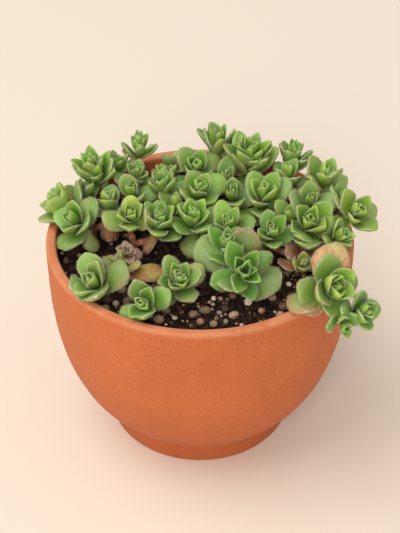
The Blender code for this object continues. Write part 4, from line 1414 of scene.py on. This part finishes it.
class CRASSULA_OT_soil(bpy.types.Operator):
    """Make the soil bed with its crumbs and granules"""
    bl_idname = "crassula.soil"
    bl_label = "Soil"

    def execute(self, context):
        settings = context.scene.crassula_soil
        humus = humus_finish(settings)
        self.bed(humus)
        self.crumbs(humus, settings.crumbs)
        self.granules(settings.small_granules)
        return {"FINISHED"}

    def bed(self, humus):
        """The soil's body with a crumbly top."""
        edge = RIM_RADIUS - WALL - GAP - 0.4
        top = POT_HEIGHT - SOIL_DROP
        inner = [wall_point(height, WALL + GAP) for height in SOIL_HEIGHTS]
        rings = [(edge * (1 - i / SOIL_STEPS), top) for i in range(1, SOIL_STEPS)]
        profile = (
            [(0, FLOOR_HEIGHT + GAP), (inner[-1][0] - 5, FLOOR_HEIGHT + GAP)]
            + inner[::-1] + [(edge, top)] + rings + [(0, top)]
        )
        shape = turned(profile)
        for vert in shape.verts:
            if abs(vert.co.z - top) < 0.01:
                vert.co.z = crumbed_height(vert.co.x, vert.co.y)
        finished_piece("soil_bed", shape, humus, "soil", "soil")

    def crumbs(self, humus, count):
        """Loose crumbs of humus."""
        draw = random.Random(11)
        shape = bmesh.new()
        for _ in range(count):
            spot = compass(draw.uniform(0, 360)) * (LOOSE_REACH * math.sqrt(draw.random()))
            size = draw.choice(CRUMB_SIZES) * draw.uniform(0.85, 1.15)
            height = crumbed_height(spot.x, spot.y) + 0.1 * size
            lump(shape, Vector((spot.x, spot.y, height)), size, 0.8, 1, draw)
        finished_piece("soil_crumbs", shape, humus, "soil")

    def granules(self, small):
        """Pumice: the large granules, and smaller ones between them."""
        draw = random.Random(7)
        places = [(spot, size, 0.75) for spot, size in granule_places(draw)]
        tries = 0
        while len(places) < GRANULE_COUNT + small and tries < LOOSE_TRIES:
            tries += 1
            angle = draw.uniform(0, 360)
            front = abs(angle - FRONT) < SMALL_SPREAD
            if not front and draw.random() < 0.7:
                continue
            reach = math.sqrt(draw.uniform(0.25 if front else 0.1, 1))
            spot = compass(angle) * (LOOSE_REACH * reach)
            size = draw.choice(SMALL_GRANULES) * draw.uniform(0.85, 1.15)
            if all((spot - other).length > (size + wide) * 0.45 for other, wide, _ in places):
                places.append((spot, size, 0.8))
        shape = layered(tint=True)
        for spot, size, flat in places:
            centre = Vector((spot.x, spot.y, soil_height(spot.x, spot.y) + 0.12 * size))
            verts = lump(shape, centre, size, flat, 2, draw)
            soiled = draw.uniform(-0.1, 0.3) if size < 1.5 else draw.uniform(0, 0.8)
            tinted(shape, verts, blend(draw.choice(PUMICE), SOIL_DUST, soiled))
        finished_piece("granules", shape, pumice_finish(), "soil")


class CRASSULA_OT_stems(bpy.types.Operator):
    """Make the woody trunks and branches"""
    bl_idname = "crassula.stems"
    bl_label = "Stems"

    def execute(self, context):
        settings = context.scene.crassula_stems
        bark = bark_finish(settings)
        for trunk in TRUNKS:
            shape = layered("scar", "young")
            self.trunk(shape, trunk, settings.girth_share)
            for head in branches_of(trunk):
                self.branch(shape, trunk, head, settings.girth_share)
            bmesh.ops.recalc_face_normals(shape, faces=shape.faces)
            finished_piece(trunk.name.replace("stem", "wood"), shape, bark, "bark", trunk.name)
        return {"FINISHED"}

    def trunk(self, shape, trunk, girth_share):
        """The upright foot of a plant."""
        foot, top = trunk_ends(trunk)

        def girth(share, point):
            wide = TRUNK_RADIUS * girth_share
            wide *= 1 + 0.12 * noise.noise(point * 0.5)
            if share > 0.86:
                wide *= math.sqrt(max(0.02, 1 - ((share - 0.86) / 0.14) ** 2))
            return wide, 0.3 + noise.noise(point * 0.4)

        fine_tube(shape, lambda share: foot.lerp(top, share), girth)

    def branch(self, shape, trunk, head, girth_share):
        """One branch, ringed with the scars of fallen leaves."""
        phase = len(head.name)
        span = (branch_point(trunk, head, 1) - branch_point(trunk, head, 0)).length

        def girth(share, point):
            ringed = abs(math.sin(share * span * 0.95 + phase)) ** 6
            rugged = girth_share * (1 + 0.14 * ringed + 0.14 * noise.noise(point * 0.7))
            return branch_radius(share) * rugged, ringed

        fine_tube(
            shape, lambda share: branch_point(trunk, head, share), girth, rings=BRANCH_RINGS,
            young=1.0 if trunk.name.startswith("stem_mid") else 0.5,
        )


class CRASSULA_OT_leaves(bpy.types.Operator):
    """Make every head's leaves, bent clear of their neighbours"""
    bl_idname = "crassula.leaves"
    bl_label = "Leaves"

    def execute(self, context):
        settings = context.scene.crassula_leaves
        finishes = {name: leaf_finish(name, settings) for name in (FRESH, GREY, OLIVE, ROSY)}
        found = plan_leaves()
        template = leaf_template()
        roots = [head for head in HEADS if not head.on.startswith("head")]
        for root in roots:
            shape = layered("share", "side", "edge", "down", "aged", tint=True)
            draw = random.Random(root.name)
            for head in HEADS:
                if node_of(head) == root.name:
                    self.neck(shape, head, root)
                    for leaf in found[head.name]:
                        fine_leaf(shape, leaf, head, template, draw)
            bmesh.ops.recalc_face_normals(shape, faces=shape.faces)
            finished_piece(
                "rosette_" + root.name.removeprefix("head_"), shape, finishes[root.tone],
                root.tone, root.name,
            )
        bpy.data.meshes.remove(template)
        return {"FINISHED"}

    def neck(self, shape, head, root):
        """The green neck between a head's leaves and the stalk of a side shoot."""
        # The neck takes its head's root colour, with that colour's painted shade
        colour = blend(LOOKS[head.tone].root, NECK_BROWN, 0.2)

        def girth(share, point):
            return TIP_RADIUS * 0.86 * (1 - 0.5 * max(0, share - 0.5) / 0.5), 0

        fine_tube(shape, along_points(neck_path(head)), girth, rings=7, tint=colour)
        if head is not root:
            fine_tube(
                shape, along_points(shoot_path(head, root)), lambda share, point: (STALK_RADIUS, 0),
                rings=5, tint=colour,
            )


class CRASSULA_OT_stage(bpy.types.Operator):
    """Make the floor, the lights and the camera"""
    bl_idname = "crassula.stage"
    bl_label = "Stage"

    def execute(self, context):
        settings = context.scene.crassula_stage
        self.floor(settings)
        self.lights(context, settings)
        self.camera(context, settings)
        return {"FINISHED"}

    def floor(self, settings):
        """A plain pale floor."""
        shape = bmesh.new()
        bmesh.ops.create_grid(shape, x_segments=1, y_segments=1, size=FLOOR_REACH)
        mesh = bpy.data.meshes.new("floor")
        shape.to_mesh(mesh)
        shape.free()
        material = bpy.data.materials.new("floor")
        material.use_nodes = True
        sockets = material.node_tree.nodes["Principled BSDF"].inputs
        sockets["Base Color"].default_value = (*settings.floor, 1)
        sockets["Roughness"].default_value = 0.9
        sockets["Specular IOR Level"].default_value = 0.1
        mesh.materials.append(material)
        floor = bpy.data.objects.new("floor", mesh)
        bpy.context.scene.collection.objects.link(floor)

    def lights(self, context, settings):
        """A soft light at the upper left, a wider one over the front and even light all round."""
        # Each with its place, its width and its power
        lamps = (
            ("key", (-1.6, -0.3, 3.0), 3.4, settings.key_power),
            ("front", (-0.5, -2.8, 2.0), 1.6, settings.front_power),
        )
        for name, place, size, power in lamps:
            light = bpy.data.lights.new(name, "AREA")
            light.shape = "DISK"
            light.size = size
            light.energy = power
            light.color = LAMP_COLOUR
            lamp = bpy.data.objects.new(name, light)
            lamp.location = place
            aim = Vector((0, 0, LAMP_AIM)) - lamp.location
            lamp.rotation_euler = aim.to_track_quat("-Z", "Y").to_euler()
            context.scene.collection.objects.link(lamp)
        world = bpy.data.worlds.new("studio")
        world.use_nodes = True
        background = world.node_tree.nodes["Background"]
        background.inputs["Color"].default_value = (*SKY_COLOUR, 1)
        background.inputs["Strength"].default_value = settings.fill
        context.scene.world = world
        context.scene.view_settings.view_transform = "Standard"

    def camera(self, context, settings):
        """The camera, above the front and looking down at the bowl."""
        rise = math.radians(VIEW_RISE)
        lens = bpy.data.cameras.new("camera")
        lens.lens = settings.focal_length
        lens.sensor_width = 36
        lens.dof.use_dof = False
        lens.clip_start = 0.01
        camera = bpy.data.objects.new("camera", lens)
        away = Vector((0, -math.cos(rise), math.sin(rise))) * VIEW_DISTANCE
        turn = Matrix.Rotation(math.radians(VIEW_TURN), 3, "Z")
        camera.location = turn @ (Vector((0, 0, VIEW_HEIGHT)) + away)
        aim = turn @ (-away)
        camera.rotation_euler = aim.to_track_quat("-Z", "Y").to_euler()
        context.scene.collection.objects.link(camera)
        context.scene.camera = camera


class CRASSULA_PT_panel(bpy.types.Panel):
    bl_idname = "CRASSULA_PT_panel"
    bl_label = "Potted crassula"
    bl_space_type = "VIEW_3D"
    bl_region_type = "UI"
    bl_category = "Crassula"

    def draw(self, context):
        for name, group in GROUPS.items():
            box = self.layout.box()
            box.operator("crassula." + name)
            settings = getattr(context.scene, "crassula_" + name)
            for key in group.__annotations__:
                box.prop(settings, key)


GROUPS = {
    "bowl": BowlSettings,
    "soil": SoilSettings,
    "stems": StemSettings,
    "leaves": LeafSettings,
    "stage": StageSettings,
}
OPERATORS = (
    CRASSULA_OT_bowl, CRASSULA_OT_soil, CRASSULA_OT_stems, CRASSULA_OT_leaves, CRASSULA_OT_stage,
)


def register():
    """Adds the settings, the operators and the panel."""
    for name, group in GROUPS.items():
        bpy.utils.register_class(group)
        setattr(bpy.types.Scene, "crassula_" + name, PointerProperty(type=group))
    for operator in OPERATORS:
        bpy.utils.register_class(operator)
    bpy.utils.register_class(CRASSULA_PT_panel)


def unregister():
    """Takes them away again."""
    bpy.utils.unregister_class(CRASSULA_PT_panel)
    for operator in OPERATORS:
        bpy.utils.unregister_class(operator)
    for name, group in GROUPS.items():
        delattr(bpy.types.Scene, "crassula_" + name)
        bpy.utils.unregister_class(group)


def main():
    """Builds every piece and the stage."""
    register()
    bpy.ops.crassula.bowl()
    bpy.ops.crassula.soil()
    bpy.ops.crassula.stems()
    bpy.ops.crassula.leaves()
    bpy.ops.crassula.stage()


if __name__ == "__main__":
    main()
